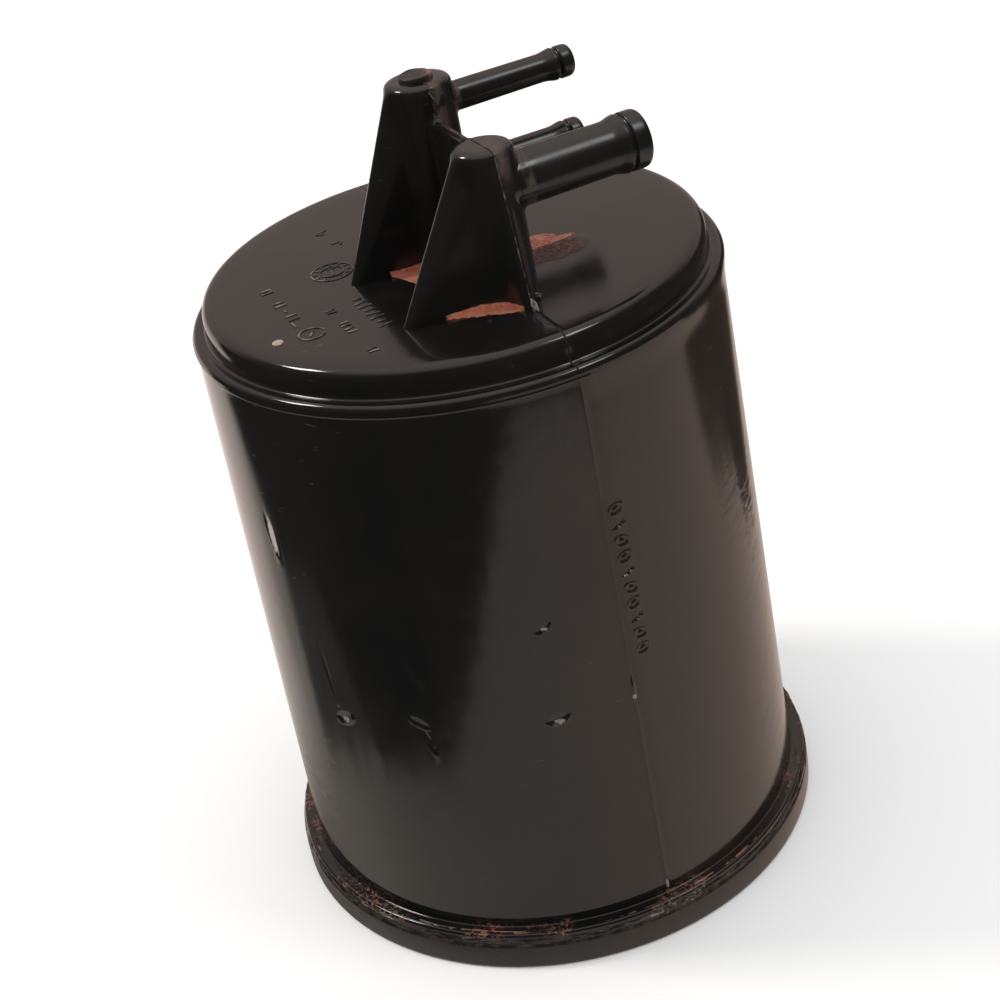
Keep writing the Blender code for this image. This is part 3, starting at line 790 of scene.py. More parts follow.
tower_shapes = [
    tower(FRONT_Y, FRONT_R, FRONT_TOP_Z, -1),
    tower(0.0, REAR_R, REAR_TOP_Z, 1),
    block((-1.3, 1.3), (FRONT_Y, 0.0), (SUNK_Z, WEB_TOP_Z)),
    stub(LARGE_R, FRONT_Y, LARGE_Z, 17.0),
    stub(SMALL_R, 0.0, SMALL_HIGH_Z, 15.0),
    stub(SMALL_R, 0.0, SMALL_LOW_Z, 15.0),
]
towers = fused(tower_shapes, 0.42, 0.6, 2)
line = towers.copy()
cut_off(towers, TOP_Z - 0.05, 1.2)
towers = bored(
    towers,
    [
        rod(PORT_R, TOP_Z - 3.0, LARGE_Z + 3.0, (0.0, FRONT_Y)),
        rod(PORT_R, TOP_Z - 3.0, TOP_Z + 33.6),
        rod(3.0, TOP_Z + 33.0, TOP_Z + 43.0),
        rod(LARGE_BORE_R, 0.0, BORE_END_X, along_x_at=(FRONT_Y, LARGE_Z)),
        rod(SMALL_BORE_R, 0.0, BORE_END_X, along_x_at=(0.0, SMALL_HIGH_Z)),
        rod(SMALL_BORE_R, 0.0, BORE_END_X, along_x_at=(0.0, SMALL_LOW_Z)),
    ],
)
piece("towers", towers, housing_nylon, "canister", ["housing"], 60.0)

# ----------------------------------------------------------------------------
# Parting line. Where the mould's halves met, a thin lip of plastic runs over both towers, the web and the
# ribs, with a torn flap of flash on the rear tower and flakes at the front rib's foot. It is part of the
# moulding.
# ----------------------------------------------------------------------------
LIP_HALF = 0.15
for side in (1, -1):
    kept_beyond(line, (side * LIP_HALF, 0, 0), (-side, 0, 0))
kept_beyond(line, (0, 0, TOP_Z + 0.1), (0, 0, 1))
line.normal_update()
for vert in line.verts:
    height = 0.5 + 0.5 * noise.noise(vert.co * 0.45)
    vert.co += vert.normal * (0.08 + 0.22 * height)
bmesh.ops.solidify(line, geom=line.faces[:], thickness=0.7)
bmesh.ops.recalc_face_normals(line, faces=line.faces)


# The same seed at each run, because noise_vector otherwise takes its offsets from the clock.
FLASH_SEED = 1
noise.seed_set(FLASH_SEED)


def flake(outline, thickness, swing=0.0):
    """A thin flap of flash in the plane X = 0, from its outline as (y, z)."""
    bm = bmesh.new()
    bm.faces.new([bm.verts.new((0.0, y, z)) for y, z in outline])
    bmesh.ops.subdivide_edges(bm, edges=bm.edges, cuts=3, use_grid_fill=True)
    bmesh.ops.triangulate(bm, faces=bm.faces)
    for vert in bm.verts:
        bend = Vector((noise.noise(vert.co * 0.5) * 0.5, 0.0, 0.0))
        vert.co += bend + noise.noise_vector(vert.co * 1.1) * 0.22
    bmesh.ops.solidify(bm, geom=bm.faces[:], thickness=thickness)
    bmesh.ops.recalc_face_normals(bm, faces=bm.faces)
    root = Matrix.Translation((0.0, *outline[0]))
    bm.transform(root @ Matrix.Rotation(math.radians(swing), 4, "Z") @ root.inverted())
    return bm


flap_outline = [
    (-7.4, TOP_Z + 39.2),
    (-7.4, TOP_Z + 46.6),
    (-8.6, TOP_Z + 46.3),
    (-10.3, TOP_Z + 44.6),
    (-10.3, TOP_Z + 42.2),
    (-9.6, TOP_Z + 40.0),
    (-9.0, TOP_Z + 38.6),
]
foot_outline = [(-49.6, TOP_Z), (-49.4, TOP_Z + 3.4), (-51.4, TOP_Z + 2.2), (-52.2, TOP_Z + 0.1)]
edge_outline = [(-44.0, TOP_Z), (-43.8, TOP_Z + 1.3), (-45.4, TOP_Z + 0.9), (-45.2, TOP_Z)]
edge_flake = flake(edge_outline, 0.3, 60.0)
edge_flake.transform(Matrix.Translation((4.1, 0.0, 0.0)))
flash = joined([line, flake(flap_outline, 0.45), flake(foot_outline, 0.35, 24.0), edge_flake])


def worn_edge(place):
    """Black nylon rubbed to a dusty brown along its thin edges."""
    dust = place.noise(2.6, 4.0, 0.65)
    z = place.parts()[2] * (1.0 / MM)
    chalk = z.rise(TOP_Z + 5.0, TOP_Z + 3.5) * place.noise(1.2, 2.0).rise(0.42, 0.58)
    base = dust.rise(0.44, 0.66).blend((0.009, 0.008, 0.0072), (0.105, 0.066, 0.050))
    base = (chalk * 0.7).blend(base, (0.34, 0.27, 0.23))
    return {"Base Color": base, "Roughness": 0.32 + dust * 0.5, "Normal": bumped(dust, 0.12)}


worn_nylon = finish("worn_nylon", worn_edge, IOR=1.5)
piece("parting_line", flash, worn_nylon, "canister", ["housing"], 50.0)

# ----------------------------------------------------------------------------
# Tower plug. A nylon button pressed and melted into the rear tower's top, over the drop tube. Its rim is
# uneven where it was melted over, and dusty to one side.
# ----------------------------------------------------------------------------
PLUG_SEAT_Z = TOP_Z + 43.0
plug_corners = [
    (0.0, REAR_TOP_Z + 1.1),
    (2.6, REAR_TOP_Z + 1.2),
    (4.7, REAR_TOP_Z + 1.5, 0.8),
    (4.7, REAR_TOP_Z - 0.4),
    (3.9, REAR_TOP_Z - 0.4),
    (3.9, PLUG_SEAT_Z + 0.3),
    (0.0, PLUG_SEAT_Z + 0.3),
]
plug = lathe(eased(plug_corners), 64)
for vert in plug.verts:
    if vert.co.z > REAR_TOP_Z - 0.5:
        wave = noise.noise(vert.co * 0.33)
        vert.co.xy *= 0.95 + 0.07 * wave
        vert.co.z += 0.25 * wave - 0.12


def melted_nylon(place):
    """Dull black with brown dust to the nipples' side."""
    x = place.parts()[0] * (1.0 / MM)
    dust = place.noise(2.2, 4.0, 0.65)
    spread = (x.rise(0.5, 4.5) * dust.rise(0.38, 0.6)).most(dust.rise(0.62, 0.72) * 0.5)
    base = spread.blend((0.011, 0.009, 0.008), (0.24, 0.10, 0.065))
    return {"Base Color": base, "Roughness": 0.3 + dust * 0.4, "Normal": bumped(dust, 0.2)}


plug_nylon = finish("plug_nylon", melted_nylon, IOR=1.5)
piece("tower_button", plug, plug_nylon, "canister", ["tower_plug"])

# ----------------------------------------------------------------------------
# Nipples. Three straight hose tails moulded with the towers: a drafted stem, a shoulder, a fine groove and
# a long blunt barrel that the hose is pushed over. Each is bored through to its tower.
# ----------------------------------------------------------------------------
def nipple(name, stem, barrel, bore, shoulder_x, tip_x, at):
    """A hollow hose tail along +X."""
    corners = [
        (bore, tip_x, 0.5),
        (barrel - 0.05, tip_x, 1.5),
        (barrel, tip_x - 2.4),
        (barrel, shoulder_x + 1.9, 0.35),
        (barrel - 0.75, shoulder_x + 1.55, 0.3),
        (barrel - 0.75, shoulder_x + 1.15, 0.3),
        (barrel + 0.05, shoulder_x + 0.8, 0.4),
        (barrel - 0.1, shoulder_x - 0.3, 0.5),
        (stem - 0.1, shoulder_x - 2.6, 1.2),
        (stem + 0.1, 6.0),
        (bore, 6.0),
    ]
    bm = lathe(eased(corners), 96, at)
    return piece(name, bm, housing_nylon, "canister", ["housing"])


nipple("large_nipple", LARGE_R, 7.6, LARGE_BORE_R, 36.3, 42.8, (FRONT_Y, LARGE_Z))
nipple("upper_small_nipple", SMALL_R, 4.3, SMALL_BORE_R, 37.5, 43.1, (0.0, SMALL_HIGH_Z))
nipple("lower_small_nipple", SMALL_R, 4.3, SMALL_BORE_R, 37.5, 43.1, (0.0, SMALL_LOW_Z))

# ----------------------------------------------------------------------------
# Mould marks. Low raised marks on the disc, cut into the mould: a date wheel, a small ring, a gate dot and
# rows of blank strokes that stand in for a maker's lettering. Their tops are rubbed grey.
# ----------------------------------------------------------------------------
MARK_Z = TOP_Z + 0.22
MARK_ROOT_Z = TOP_Z - 0.4


def tab(x, y, length, width, turn=0.0):
    """A raised blank stroke, its long side along X before it is turned."""
    bm = block((-length / 2, length / 2), (-width / 2, width / 2), (MARK_ROOT_Z, MARK_Z))
    bevelled(bm, bm.edges[:], 0.12)
    bm.transform(Matrix.Translation((x, y, 0.0)) @ Matrix.Rotation(math.radians(turn), 4, "Z"))
    return bm


def hoop(x, y, radius, width):
    """A raised ring."""
    hole = radius - width
    corners = [(radius, MARK_Z, 0.1), (radius, MARK_ROOT_Z), (hole, MARK_ROOT_Z), (hole, MARK_Z, 0.1)]
    return lathe(eased(corners, 3), 64, at=(x, y))


marks = []
for y in (14.4, 12.6, 4.4, 2.2, -5.6, -8.4):
    marks.append(tab(-48.0, y, 3.2, 0.8))
for x, y, length in ((-46.6, 13.5, 1.8), (-49.2, 13.5, 1.8), (-48.2, -1.6, 2.6), (-49.4, -11.8, 3.4)):
    marks.append(tab(x, y, length, 0.55, 90.0))
for number, y in enumerate((-10.6, -12.2, -20.4, -22.2, -24.4, -26.6, -39.4, -41.0)):
    marks.append(tab(-39.0, y, 2.6, 0.7, 8.0 * (-1) ** number))
for number, y in enumerate((-9.6, -12.4, -15.2, -18.0, -20.8, -23.6, -26.4, -29.2)):
    marks.append(tab(-31.0, y, 3.8 if number % 3 else 2.4, 0.75, (-12.0, 6.0, 0.0, 10.0)[number % 4]))
for x, y, turn in ((-21.3, 41.0, 20.0), (-22.6, 39.4, -30.0), (-21.5, 30.5, 0.0), (-20.2, 29.3, 60.0)):
    marks.append(tab(x, y, 2.4, 0.8, turn))
marks.append(hoop(-47.6, -20.1, 3.6, 0.5))
marks.append(tab(-47.6, -20.1, 3.4, 0.6, 55.0))


def rubbed_mark(place):
    """Black nylon whose raised tops are rubbed grey."""
    z = place.parts()[2] * (1.0 / MM)
    wear = place.noise(2.4, 3.0, 0.6)
    top = z.rise(TOP_Z + 0.08, TOP_Z + 0.2) * wear.rise(0.38, 0.6)
    left = place.parts()[0].rise(-0.0305, -0.0345) * 0.6 + 0.4
    base = (top * left).blend((0.006, 0.0055, 0.005), (0.155, 0.135, 0.125))
    return {"Base Color": base, "Roughness": 0.55 + top * 0.2, "Normal": bumped(wear, 0.08)}


mark_nylon = finish("mark_nylon", rubbed_mark, IOR=1.5)
piece("mould_strokes", joined(marks), mark_nylon, "canister", ["housing"])

WHEEL_X = -29.5
WHEEL_Y = 12.3
wheel = [hoop(WHEEL_X, WHEEL_Y, 5.9, 0.45), hoop(WHEEL_X, WHEEL_Y, 3.4, 0.35)]
for number in range(12):
    turn = number * 30.0 + 15.0
    c, s = math.cos(math.radians(turn)), math.sin(math.radians(turn))
    wheel.append(tab(WHEEL_X + 4.6 * c, WHEEL_Y + 4.6 * s, 1.2, 0.5, turn))
wheel.append(tab(WHEEL_X, WHEEL_Y, 5.0, 0.7, 78.0))
for turn in (38.0, 118.0):
    c, s = math.cos(math.radians(turn)), math.sin(math.radians(turn))
    wheel.append(tab(WHEEL_X + 0.45 + 0.7 * (c - 0.2), WHEEL_Y + 2.2 - 0.7 * s, 1.7, 0.6, turn))
piece("date_wheel", joined(wheel), mark_nylon, "canister", ["housing"])


def pale_spot(place):
    """A bare, scuffed spot where the moulding was gated."""
    speck = place.noise(1.2, 3.0)
    return {"Base Color": speck.blend((0.20, 0.15, 0.12), (0.50, 0.42, 0.35)), "Roughness": 0.4 + speck * 0.3}


dot_corners = [(0.0, TOP_Z + 0.35), (1.5, TOP_Z + 0.3, 0.5), (1.5, MARK_ROOT_Z), (0.0, MARK_ROOT_Z)]
gate_dot = lathe(eased(dot_corners), 32)
gate_dot.transform(Matrix.Translation((-56.2, -18.4, 0.0)))
piece("gate_dot", gate_dot, finish("gate_scar", pale_spot), "canister", ["housing"])

# ----------------------------------------------------------------------------
# Base cap. A shallow black nylon cup with a plain outer band, hot-plate welded to the housing's foot
# flange. An inner sleeve carries the fixed grid. The band is satin, browned with road dirt towards the
# nipples' side.
# ----------------------------------------------------------------------------
BASE_R = 79.0
CAP_RIM_Z = 8.9
SLEEVE_R = 68.7
SLEEVE_TOP_Z = 16.7
CAP_WALL = 2.4
cap_corners = [
    (BASE_R - 0.9, CAP_RIM_Z),
    (BASE_R - 0.1, CAP_RIM_Z - 0.9, 0.6),
    (BASE_R, 5.0),
    (BASE_R, 0.0, 1.2),
    (SLEEVE_R, 0.0, 0.8),
    (SLEEVE_R, SLEEVE_TOP_Z, 0.3),
    (SLEEVE_R + CAP_WALL, SLEEVE_TOP_Z, 0.3),
    (SLEEVE_R + CAP_WALL, CAP_WALL, 0.6),
    (BASE_R - CAP_WALL, CAP_WALL, 0.6),
    (BASE_R - CAP_WALL, CAP_RIM_Z),
]
cap = lathe(eased(cap_corners), 240)


def band_nylon(place):
    """Satin black, browned on one side, with specks of dirt under the weld."""
    x, _, z = (axis * (1.0 / MM) for axis in place.parts())
    cloud = place.noise(30.0, 3.0)
    mottle = place.noise(4.0, 4.0, 0.6)
    brown = x.rise(10.0, 70.0) * (0.4 + cloud * 0.6)
    base = cloud.blend((0.0075, 0.0068, 0.0062), (0.013, 0.011, 0.0095))
    base = (brown * 0.8).blend(base, (0.030, 0.017, 0.012))
    soil = z.rise(6.9, 8.7) * mottle.rise(0.45, 0.62)
    base = (soil * 0.6).blend(base, (0.060, 0.033, 0.024))
    rough = 0.2 + mottle * 0.16 + soil * 0.4
    return {"Base Color": base, "Roughness": rough, "Normal": bumped(mottle, 0.03)}


cap_nylon = finish("cap_nylon", band_nylon, IOR=1.5)
piece("base_band", cap, cap_nylon, "canister", ["base_cap"])

# ----------------------------------------------------------------------------
# Weld bead. Plastic squeezed out of the weld between cap and flange: ragged strands run round the rim and
# have caught brown and orange dirt, thickest towards the front.
# ----------------------------------------------------------------------------
BEAD_STEPS = 900
bead_corners = [
    (BASE_R - 0.25, CAP_RIM_Z - 0.9, 0.3),
    (BASE_R - 0.25, CAP_RIM_Z + 0.7, 0.4),
    (BASE_R - 1.0, FLANGE_TOP_Z - 1.2, 0.4),
    (BASE_R - 1.7, FLANGE_TOP_Z + 0.15, 0.5),
    (BASE_R - 3.2, FLANGE_TOP_Z + 0.1, 0.5),
    (BASE_R - 3.2, CAP_RIM_Z),
    (BASE_R - 2.0, CAP_RIM_Z - 0.9),
]
bead = lathe(eased(bead_corners, 5), BEAD_STEPS)
bead.normal_update()
for vert in bead.verts:
    r = math.hypot(vert.co.x, vert.co.y)
    strand = Vector((vert.co.x / 11.0, vert.co.y / 11.0, vert.co.z * 1.5 + r * 1.1))
    tear = Vector((vert.co.x / 2.3, vert.co.y / 2.3, vert.co.z * 1.2))
    lift = 0.42 * noise.noise(strand) + 0.22 * noise.noise(tear) - 0.18
    vert.co += vert.normal * lift
    outer = math.hypot(vert.co.x, vert.co.y)
    if outer > BASE_R:
        vert.co.xy *= BASE_R / outer


def weld_dirt(place):
    """Torn black plastic, with brown dirt in strands round the rim and a little orange along its inside."""
    x, y, z = (axis * (1.0 / MM) for axis in place.parts())
    around = y.math("ARCTAN2", y, x) * FLANGE_R
    r = (x * x + y * y) ** 0.5
    strands = x.node("CombineXYZ", None, {0: around * 0.00045, 1: r * 0.008, 2: z * 0.008})
    lane = strands.noise(6.0, 4.0, 0.6)
    blotch = place.noise(20.0, 3.0, 0.6)
    crumb = place.noise(1.4, 3.0, 0.65)
    nose = y.rise(10.0, -50.0)
    soil = (lane * 0.7 + crumb * 0.2 + nose * 0.06).rise(0.47, 0.62)
    base = soil.blend((0.0075, 0.0068, 0.0062), (0.036, 0.023, 0.018))
    inner = r.rise(BASE_R - 1.3, BASE_R - 2.2)
    orange = (inner * 0.20 + blotch * 0.7 + lane * 0.35 + crumb * 0.2 + nose * 0.08).rise(0.90, 0.98)
    orange_tint = crumb.rise(0.4, 0.6).blend((0.16, 0.055, 0.035), (0.34, 0.12, 0.075))
    base = (orange * 0.85).blend(base, orange_tint)
    # Pale squeezed-out flash near the seam's foot; this pale patch is also a painted highlight.
    seam_flash_and_highlight = near(place, (3.0, -77.0, 10.0), (16.0, 12.0, 6.0)).rise(1.0, 0.5)
    pale = (crumb * 0.5 + lane * 0.6).rise(0.60, 0.68) * seam_flash_and_highlight
    base = (pale * 0.7).blend(base, (0.30, 0.24, 0.20))
    rough = 0.2 + soil * 0.35 + orange * 0.3
    return {"Base Color": base, "Roughness": rough, "Normal": bumped(lane, 0.3, 1.0, bumped(crumb, 0.12))}


bead_nylon = finish("bead_nylon", weld_dirt, IOR=1.5)
piece("weld_bead", bead, bead_nylon, "canister", ["base_cap"], 60.0)

# ----------------------------------------------------------------------------
# Air filter. A round pad of matted glass fibre, cut from felt and slipped into the base cap's sleeve.
# Outside air is drawn up through it, so its underside is greyed with dust.
# ----------------------------------------------------------------------------
PAD_R = 68.2
PAD_Z = 4.6
PAD_TOP_Z = 16.6
pad_rings = [r * 3.0 for r in range(1, 22)]
pad_corners = [
    (0.0, PAD_TOP_Z),
    *((r, PAD_TOP_Z) for r in pad_rings),
    (PAD_R, PAD_TOP_Z, 2.2),
    (PAD_R, PAD_TOP_Z - 4.1),
    (PAD_R, PAD_Z + 3.9),
    (PAD_R, PAD_Z, 2.2),
    *((r, PAD_Z) for r in reversed(pad_rings)),
    (0.0, PAD_Z),
]
pad = lathe(eased(pad_corners), 144)
pad.normal_update()
for vert in pad.verts:
    tuft = noise.noise(vert.co * 0.12) * 0.5 + noise.noise(vert.co * 0.5) * 0.35
    vert.co -= vert.normal * (0.45 + 0.5 * tuft)


def matted_fibre(place):
    """Off-white crossing fibres with grey dust in the hollows of the underside."""
    z = place.parts()[2] * (1.0 / MM)
    one = place.stretch(0.25, 3.0, 1.0).noise(1.1, 3.0, 0.7, 1.5)
    two = place.stretch(3.0, 0.25, 1.0).noise(1.1, 3.0, 0.7, 1.5)
    weave = one.most(two)
    soot = place.noise(18.0, 4.0, 0.6).rise(0.35, 0.7) * z.rise(9.0, 5.0)
    base = weave.rise(0.4, 0.7).blend((0.44, 0.40, 0.31), (0.80, 0.76, 0.64))
    base = (soot * 0.75).blend(base, (0.16, 0.14, 0.12))
    return {"Base Color": base, "Roughness": 0.85 + weave * 0.1, "Normal": bumped(weave, 0.5)}


fibre = finish("filter_fibre", matted_fibre)
filter_pad = piece("filter_pad", pad, fibre, "filter_set", ["air_filter"], 80.0)

# ----------------------------------------------------------------------------
# Retainer cross and grids. Flat mouldings in grey-black nylon: a cross with a central eye that snaps in
# under the air filter, the fixed grid on the sleeve, the pressure grid that floats on the springs and the
# spreader.
# ----------------------------------------------------------------------------
def softened(name, node, material, body, ease):
    """A CAD node's shape with its sharp edges eased."""
    bm = bmesh.new()
    bm.from_mesh(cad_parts[node].data)
    bm.transform(Matrix.Scale(1.0 / MM, 4))
    bmesh.ops.remove_doubles(bm, verts=bm.verts, dist=1e-3)
    bmesh.ops.dissolve_limit(bm, angle_limit=math.radians(1.0), verts=bm.verts, edges=bm.edges)
    sharp = [edge for edge in bm.edges if edge.is_manifold and edge.calc_face_angle() > math.radians(40.0)]
    bevelled(bm, sharp, ease)
    bmesh.ops.recalc_face_normals(bm, faces=bm.faces)
    return piece(name, bm, material, body, [node], 35.0)


def grey_nylon(place):
    """Matt moulded nylon with faint flow marks and black dust."""
    flow = place.noise(14.0, 3.0, 0.6, 1.0)
    soot = place.noise(2.5, 4.0, 0.6)
    base = flow.blend((0.040, 0.040, 0.042), (0.070, 0.069, 0.070))
    base = (soot.rise(0.55, 0.7) * 0.6).blend(base, (0.012, 0.012, 0.012))
    return {"Base Color": base, "Roughness": 0.42 + soot * 0.2, "Normal": bumped(soot, 0.04)}


grid_nylon = finish("grid_nylon_worn", grey_nylon, IOR=1.5)
softened("snap_cross", "retainer_cross", grid_nylon, "filter_set", 0.5)
softened("fixed_grating", "fixed_grid", grid_nylon, "canister", 0.3)
softened("pressure_grating", "pressure_grid", grid_nylon, "charcoal_column", 0.3)
softened("spreader", "spreader_plate", grid_nylon, "canister", 0.25)

# ----------------------------------------------------------------------------
# Springs. Four open coils of drawn steel wire with their end turns closed, between the two grids. In the
# canister they shorten as the charcoal settles or is pressed down; here each is built at one length.
# ----------------------------------------------------------------------------
SPRING_PLACE = 27.0
SPRING_FOOT_Z = 20.8
SPRING_TOP_Z = 45.7
COIL_R = 7.2
WIRE_R = 0.8
COIL_TURNS = 4.5
STEPS_A_TURN = 40


def drawn_steel(place):
    """Drawn wire: bright, with fine lines and a thin brown film."""
    line_mark = place.stretch(1.0, 1.0, 0.2).noise(0.6, 2.0)
    film = place.noise(6.0, 3.0).rise(0.5, 0.75)
    base = (film * 0.5).blend((0.50, 0.49, 0.47), (0.26, 0.18, 0.13))
    rough = 0.28 + film * 0.25 + line_mark * 0.1
    return {"Base Color": base, "Roughness": rough, "Normal": bumped(line_mark, 0.01)}


wire_steel = finish("wire_steel", drawn_steel, Metallic=1.0)


def coil(name, node, x, y):
    """One spring as a round wire along its helix."""
    curve = bpy.data.curves.new("wire_path", "CURVE")
    curve.dimensions = "3D"
    curve.bevel_depth = WIRE_R
    curve.bevel_resolution = 4
    curve.use_fill_caps = True
    steps = int(COIL_TURNS * STEPS_A_TURN)
    path = curve.splines.new("POLY")
    path.points.add(steps)
    rise = SPRING_TOP_Z - SPRING_FOOT_Z - 2 * WIRE_R
    closed = 1.0 / COIL_TURNS
    lift = 2.1 * WIRE_R
    for step, point in enumerate(path.points):
        along = step / steps
        free = min(max((along - closed * 0.8) / (1.0 - 1.6 * closed), 0.0), 1.0)
        ends = min(along / closed, 1.0) + min(max((along - 1.0 + closed) / closed, 0.0), 1.0)
        up = SPRING_FOOT_Z + WIRE_R + (rise - 2 * lift) * free + lift * ends
        turn = math.tau * COIL_TURNS * along
        point.co = (x + COIL_R * math.cos(turn), y + COIL_R * math.sin(turn), up, 1.0)
    holder = bpy.data.objects.new("wire_path", curve)
    scene.collection.objects.link(holder)
    graph = bpy.context.evaluated_depsgraph_get()
    wire = bpy.data.meshes.new_from_object(holder.evaluated_get(graph))
    bm = bmesh.new()
    bm.from_mesh(wire)
    bpy.data.objects.remove(holder)
    bpy.data.curves.remove(curve)
    bpy.data.meshes.remove(wire)
    bmesh.ops.remove_doubles(bm, verts=bm.verts, dist=1e-4)
    bmesh.ops.recalc_face_normals(bm, faces=bm.faces)
    made = piece(name, bm, wire_steel, "canister", [node])
    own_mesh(made)


for number, (side_x, side_y) in enumerate(((-1, -1), (-1, 1), (1, -1), (1, 1)), start=1):
    coil(f"coil_{number}", f"spring_{number}", side_x * SPRING_PLACE, side_y * SPRING_PLACE)

# ----------------------------------------------------------------------------
# Charcoal column. Loose activated charcoal pellets between two discs of open-cell foam, which keep the dust
# in and ride down with the pressure grid.
# ----------------------------------------------------------------------------
def open_cells(place):
    """Grey open-cell foam, darkened by painted shade in the hollow of each cell, with dark dust stains."""
    cells = place.node("TexVoronoi", {"feature": "F1"}, {"Vector": place, "Scale": 900.0})
    stain = place.noise(14.0, 4.0, 0.6)
    # Painted shade: each cell is darkest in its hollow middle and lighter at its rim. The stain below is
    # dust.
    base = cells.rise(0.1, 0.7).blend((0.05, 0.05, 0.052), (0.19, 0.19, 0.20))
    base = (stain.rise(0.45, 0.7) * 0.6).blend(base, (0.03, 0.03, 0.03))
    return {"Base Color": base, "Roughness": 0.9 + cells * 0.08, "Normal": bumped(cells, 0.4)}


foam = finish("column_foam", open_cells)


def foam_disc(name, node, radius, low, high, eye):
    """A foam disc, slightly crowned and uneven, with an eye for the tube where it has one."""
    rings = [r * 4.0 for r in range(2, int(radius / 4.0))]
    start = [(eye, high, 0.4)] if eye else [(0.0, high)]
    end = [(eye, low, 0.4)] if eye else [(0.0, low)]
    corners = [
        *start,
        *((r, high) for r in rings),
        (radius, high, 1.4),
        (radius, (low + high) / 2),
        (radius, low, 1.4),
        *((r, low) for r in reversed(rings)),
        *end,
    ]
    bm = lathe(eased(corners), 120)
    bm.normal_update()
    for vert in bm.verts:
        vert.co -= vert.normal * (0.15 + 0.2 * noise.noise(vert.co * 0.25))
    made = piece(name, bm, foam, "charcoal_column", [node], 80.0)


foam_disc("lower_foam", "lower_pad", 70.3, 50.3, 56.0, 0.0)
foam_disc("upper_foam", "upper_pad", 68.3, 166.0, 172.3, 3.2)


def pellets(place):
    """Packed black pellets, with painted shading: each pellet lighter in its middle and darker towards the
    gaps between pellets.
    """
    grains = place.node("TexVoronoi", {"feature": "F1"}, {"Vector": place, "Scale": 420.0})
    shade = place.noise(5.0, 3.0)
    # Painted shade: the colour darkens from each pellet's middle into the gaps between pellets.
    base = grains.rise(0.1, 0.8).blend((0.035, 0.035, 0.036), (0.006, 0.006, 0.006))
    base = (shade * 0.5).blend(base, (0.015, 0.015, 0.016))
    return {"Base Color": base, "Roughness": 0.6 + grains * 0.3, "Normal": bumped(1.0 - grains, 1.2)}


BED_Z = 56.3
BED_TOP_Z = 165.7
BED_FOOT_R = 70.3
BED_TOP_R = 68.4
BED_HOLE_R = 5.1
BED_HOLE_Z = 61.0
bed_draft = (BED_FOOT_R - BED_TOP_R) / (BED_TOP_Z - BED_Z)
bed_levels = [BED_Z + 2.4 * step for step in range(1, 45)]
bed_rings = [r * 3.0 for r in range(2, 23)]
bed_corners = [
    (BED_HOLE_R, BED_TOP_Z, 0.5),
    *((r, BED_TOP_Z) for r in bed_rings),
    (BED_TOP_R, BED_TOP_Z, 1.0),
    *((BED_TOP_R + bed_draft * (BED_TOP_Z - z), z) for z in reversed(bed_levels)),
    (BED_FOOT_R, BED_Z, 1.0),
    *((r, BED_Z) for r in reversed(bed_rings)),
    (0.0, BED_Z),
    (0.0, BED_HOLE_Z),
    (BED_HOLE_R, BED_HOLE_Z, 0.5),
]
bed = lathe(eased(bed_corners, 3), 180)
bed.normal_update()
for vert in bed.verts:
    vert.co -= vert.normal * (0.3 + 0.55 * noise.noise(vert.co * 0.55))
charcoal = finish("charcoal_pellets", pellets)
piece("pellet_bed", bed, charcoal, "charcoal_column", ["carbon_bed"], 80.0)

# ----------------------------------------------------------------------------
# Drop tube and port fittings. An undyed nylon tube hangs from the upper small port into the charcoal, held
# by a rubber grommet, with a wire strainer on its end. Wire screens cross both towers' feet; a brass jet
# meters purge.
# ----------------------------------------------------------------------------
def tube_wall(place):
    """Milky nylon, yellowed by fuel vapour."""
    stain = place.stretch(1.0, 1.0, 6.0).noise(5.0, 3.0)
    base = stain.blend((0.66, 0.62, 0.50), (0.50, 0.42, 0.26))
    return {"Base Color": base, "Roughness": 0.35 + stain * 0.2, "Normal": bumped(stain, 0.02)}


TUBE_R = 2.55
TUBE_HOLE_R = 1.6
TUBE_Z = 66.0
TUBE_TOP_Z = 221.0
tube_corners = [
    (TUBE_R, TUBE_TOP_Z, 0.3),
    (TUBE_R, TUBE_Z, 0.3),
    (TUBE_HOLE_R, TUBE_Z, 0.3),
    (TUBE_HOLE_R, TUBE_TOP_Z, 0.3),
]
tube_nylon = finish("tube_nylon", tube_wall, Subsurface_Weight=0.15)
piece("drop_pipe", lathe(eased(tube_corners, 3), 48), tube_nylon, "canister", ["drop_tube"])


def nitrile(place):
    """Matt black rubber with a dusty bloom."""
    bloom = place.noise(1.5, 3.0)
    base = bloom.blend((0.018, 0.018, 0.019), (0.045, 0.044, 0.043))
    return {"Base Color": base, "Roughness": 0.55 + bloom * 0.25}


GROMMET_R = 4.4
GROMMET_WAIST_R = 3.9
GROMMET_HOLE_R = 2.85
GROMMET_Z = 213.0
GROMMET_TOP_Z = 217.3
grommet_corners = [
    (GROMMET_R, GROMMET_TOP_Z, 0.3),
    (GROMMET_R, GROMMET_TOP_Z - 1.3, 0.2),
    (GROMMET_WAIST_R, GROMMET_TOP_Z - 1.7, 0.2),
    (GROMMET_WAIST_R, GROMMET_Z + 1.8, 0.2),
    (GROMMET_R, GROMMET_Z + 1.4, 0.2),
    (GROMMET_R, GROMMET_Z, 0.3),
    (GROMMET_HOLE_R, GROMMET_Z, 0.2),
    (GROMMET_HOLE_R, GROMMET_TOP_Z, 0.2),
]
rubber = finish("grommet_rubber", nitrile)
piece("grommet", lathe(eased(grommet_corners, 3), 48), rubber, "canister", ["tube_grommet"])


WEAVE_PITCH = 0.6 * MM


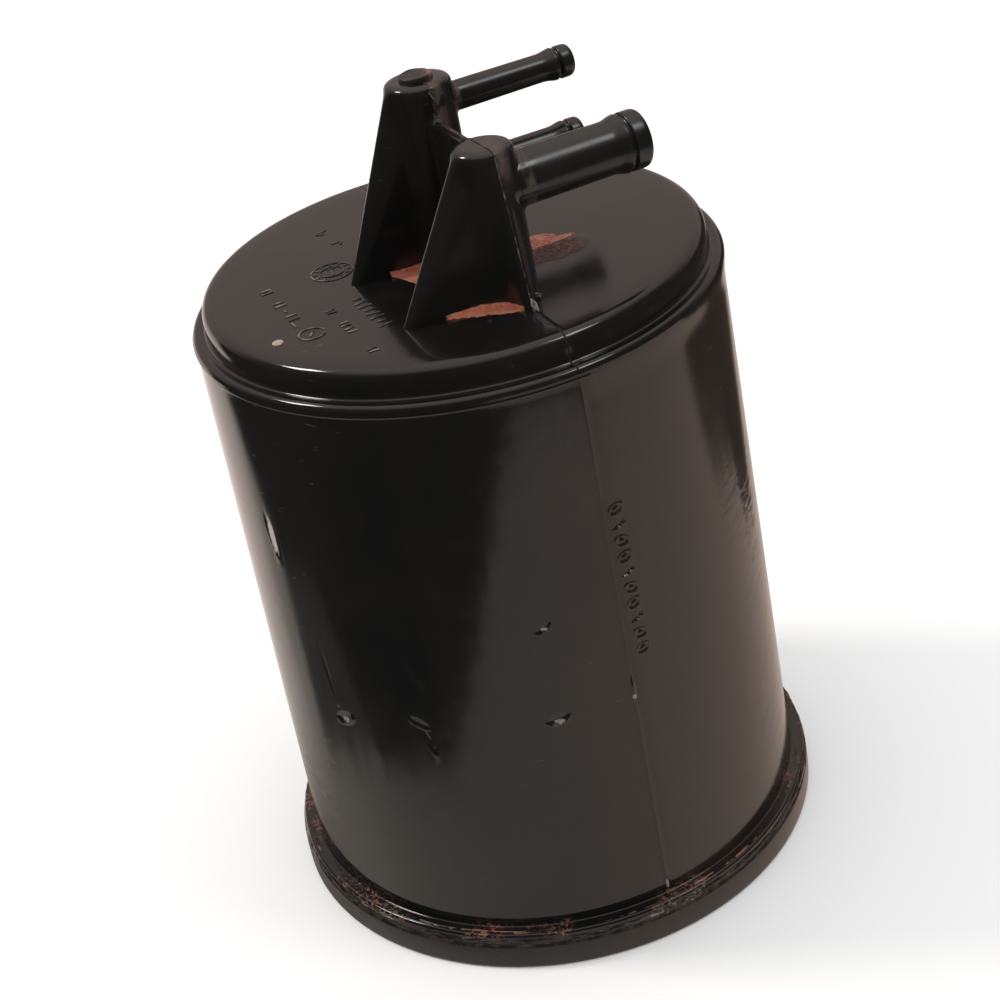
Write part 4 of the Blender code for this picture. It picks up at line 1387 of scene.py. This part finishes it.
def woven_wire(place):
    """Bright woven wire with dust in its openings."""
    x, y, _ = (axis * (math.tau / WEAVE_PITCH) for axis in place.parts())
    over = x.math("SINE", x) * x.math("SINE", y)
    dust = place.noise(2.0, 3.0)
    base = dust.rise(0.4, 0.7).blend((0.60, 0.60, 0.58), (0.30, 0.28, 0.25))
    return {"Base Color": base, "Roughness": 0.3 + dust * 0.2, "Normal": bumped(over * 0.5 + 0.5, 0.06)}


screen_wire = finish("screen_wire", woven_wire, Metallic=1.0)
softened("front_screen", "front_port_screen", screen_wire, "canister", 0.12)
softened("rear_screen", "rear_port_screen", screen_wire, "canister", 0.12)
STRAINER_R = 4.6
STRAINER_HOLE_R = 2.85
STRAINER_Z = 63.6
STRAINER_TOP_Z = 76.0
strainer_corners = [
    (0.0, STRAINER_Z + 1.4),
    (STRAINER_HOLE_R, STRAINER_Z + 1.4),
    (STRAINER_HOLE_R, STRAINER_TOP_Z, 0.3),
    (STRAINER_R, STRAINER_TOP_Z, 0.5),
    (STRAINER_R, STRAINER_Z, 0.8),
    (0.0, STRAINER_Z),
]
strainer = lathe(eased(strainer_corners, 4), 48)
piece("strainer", strainer, screen_wire, "canister", ["tube_strainer"])


TOOL_PITCH = 0.3 * MM


def turned_brass(place):
    """Turned brass with fine rings, a little dulled."""
    x = place.parts()[0] * (math.tau / TOOL_PITCH)
    dull = place.noise(1.2, 3.0)
    rings = x.math("SINE", x) * 0.5 + 0.5
    base = dull.blend((0.78, 0.57, 0.24), (0.48, 0.33, 0.14))
    return {"Base Color": base, "Roughness": 0.22 + dull * 0.2, "Normal": bumped(rings, 0.004)}


JET_R = 1.7
JET_HOLE_R = 0.5
JET_X = 12.0
JET_END_X = 18.0
jet_corners = [
    (JET_R, JET_X, 0.25),
    (JET_R, JET_END_X, 0.25),
    (JET_HOLE_R, JET_END_X, 0.3),
    (JET_HOLE_R, JET_X, 0.3),
]
jet = lathe(eased(jet_corners, 3), 40, (0.0, SMALL_LOW_Z))
jet_brass = finish("jet_brass", turned_brass, Metallic=1.0)
piece("purge_jet", jet, jet_brass, "canister", ["purge_orifice"])
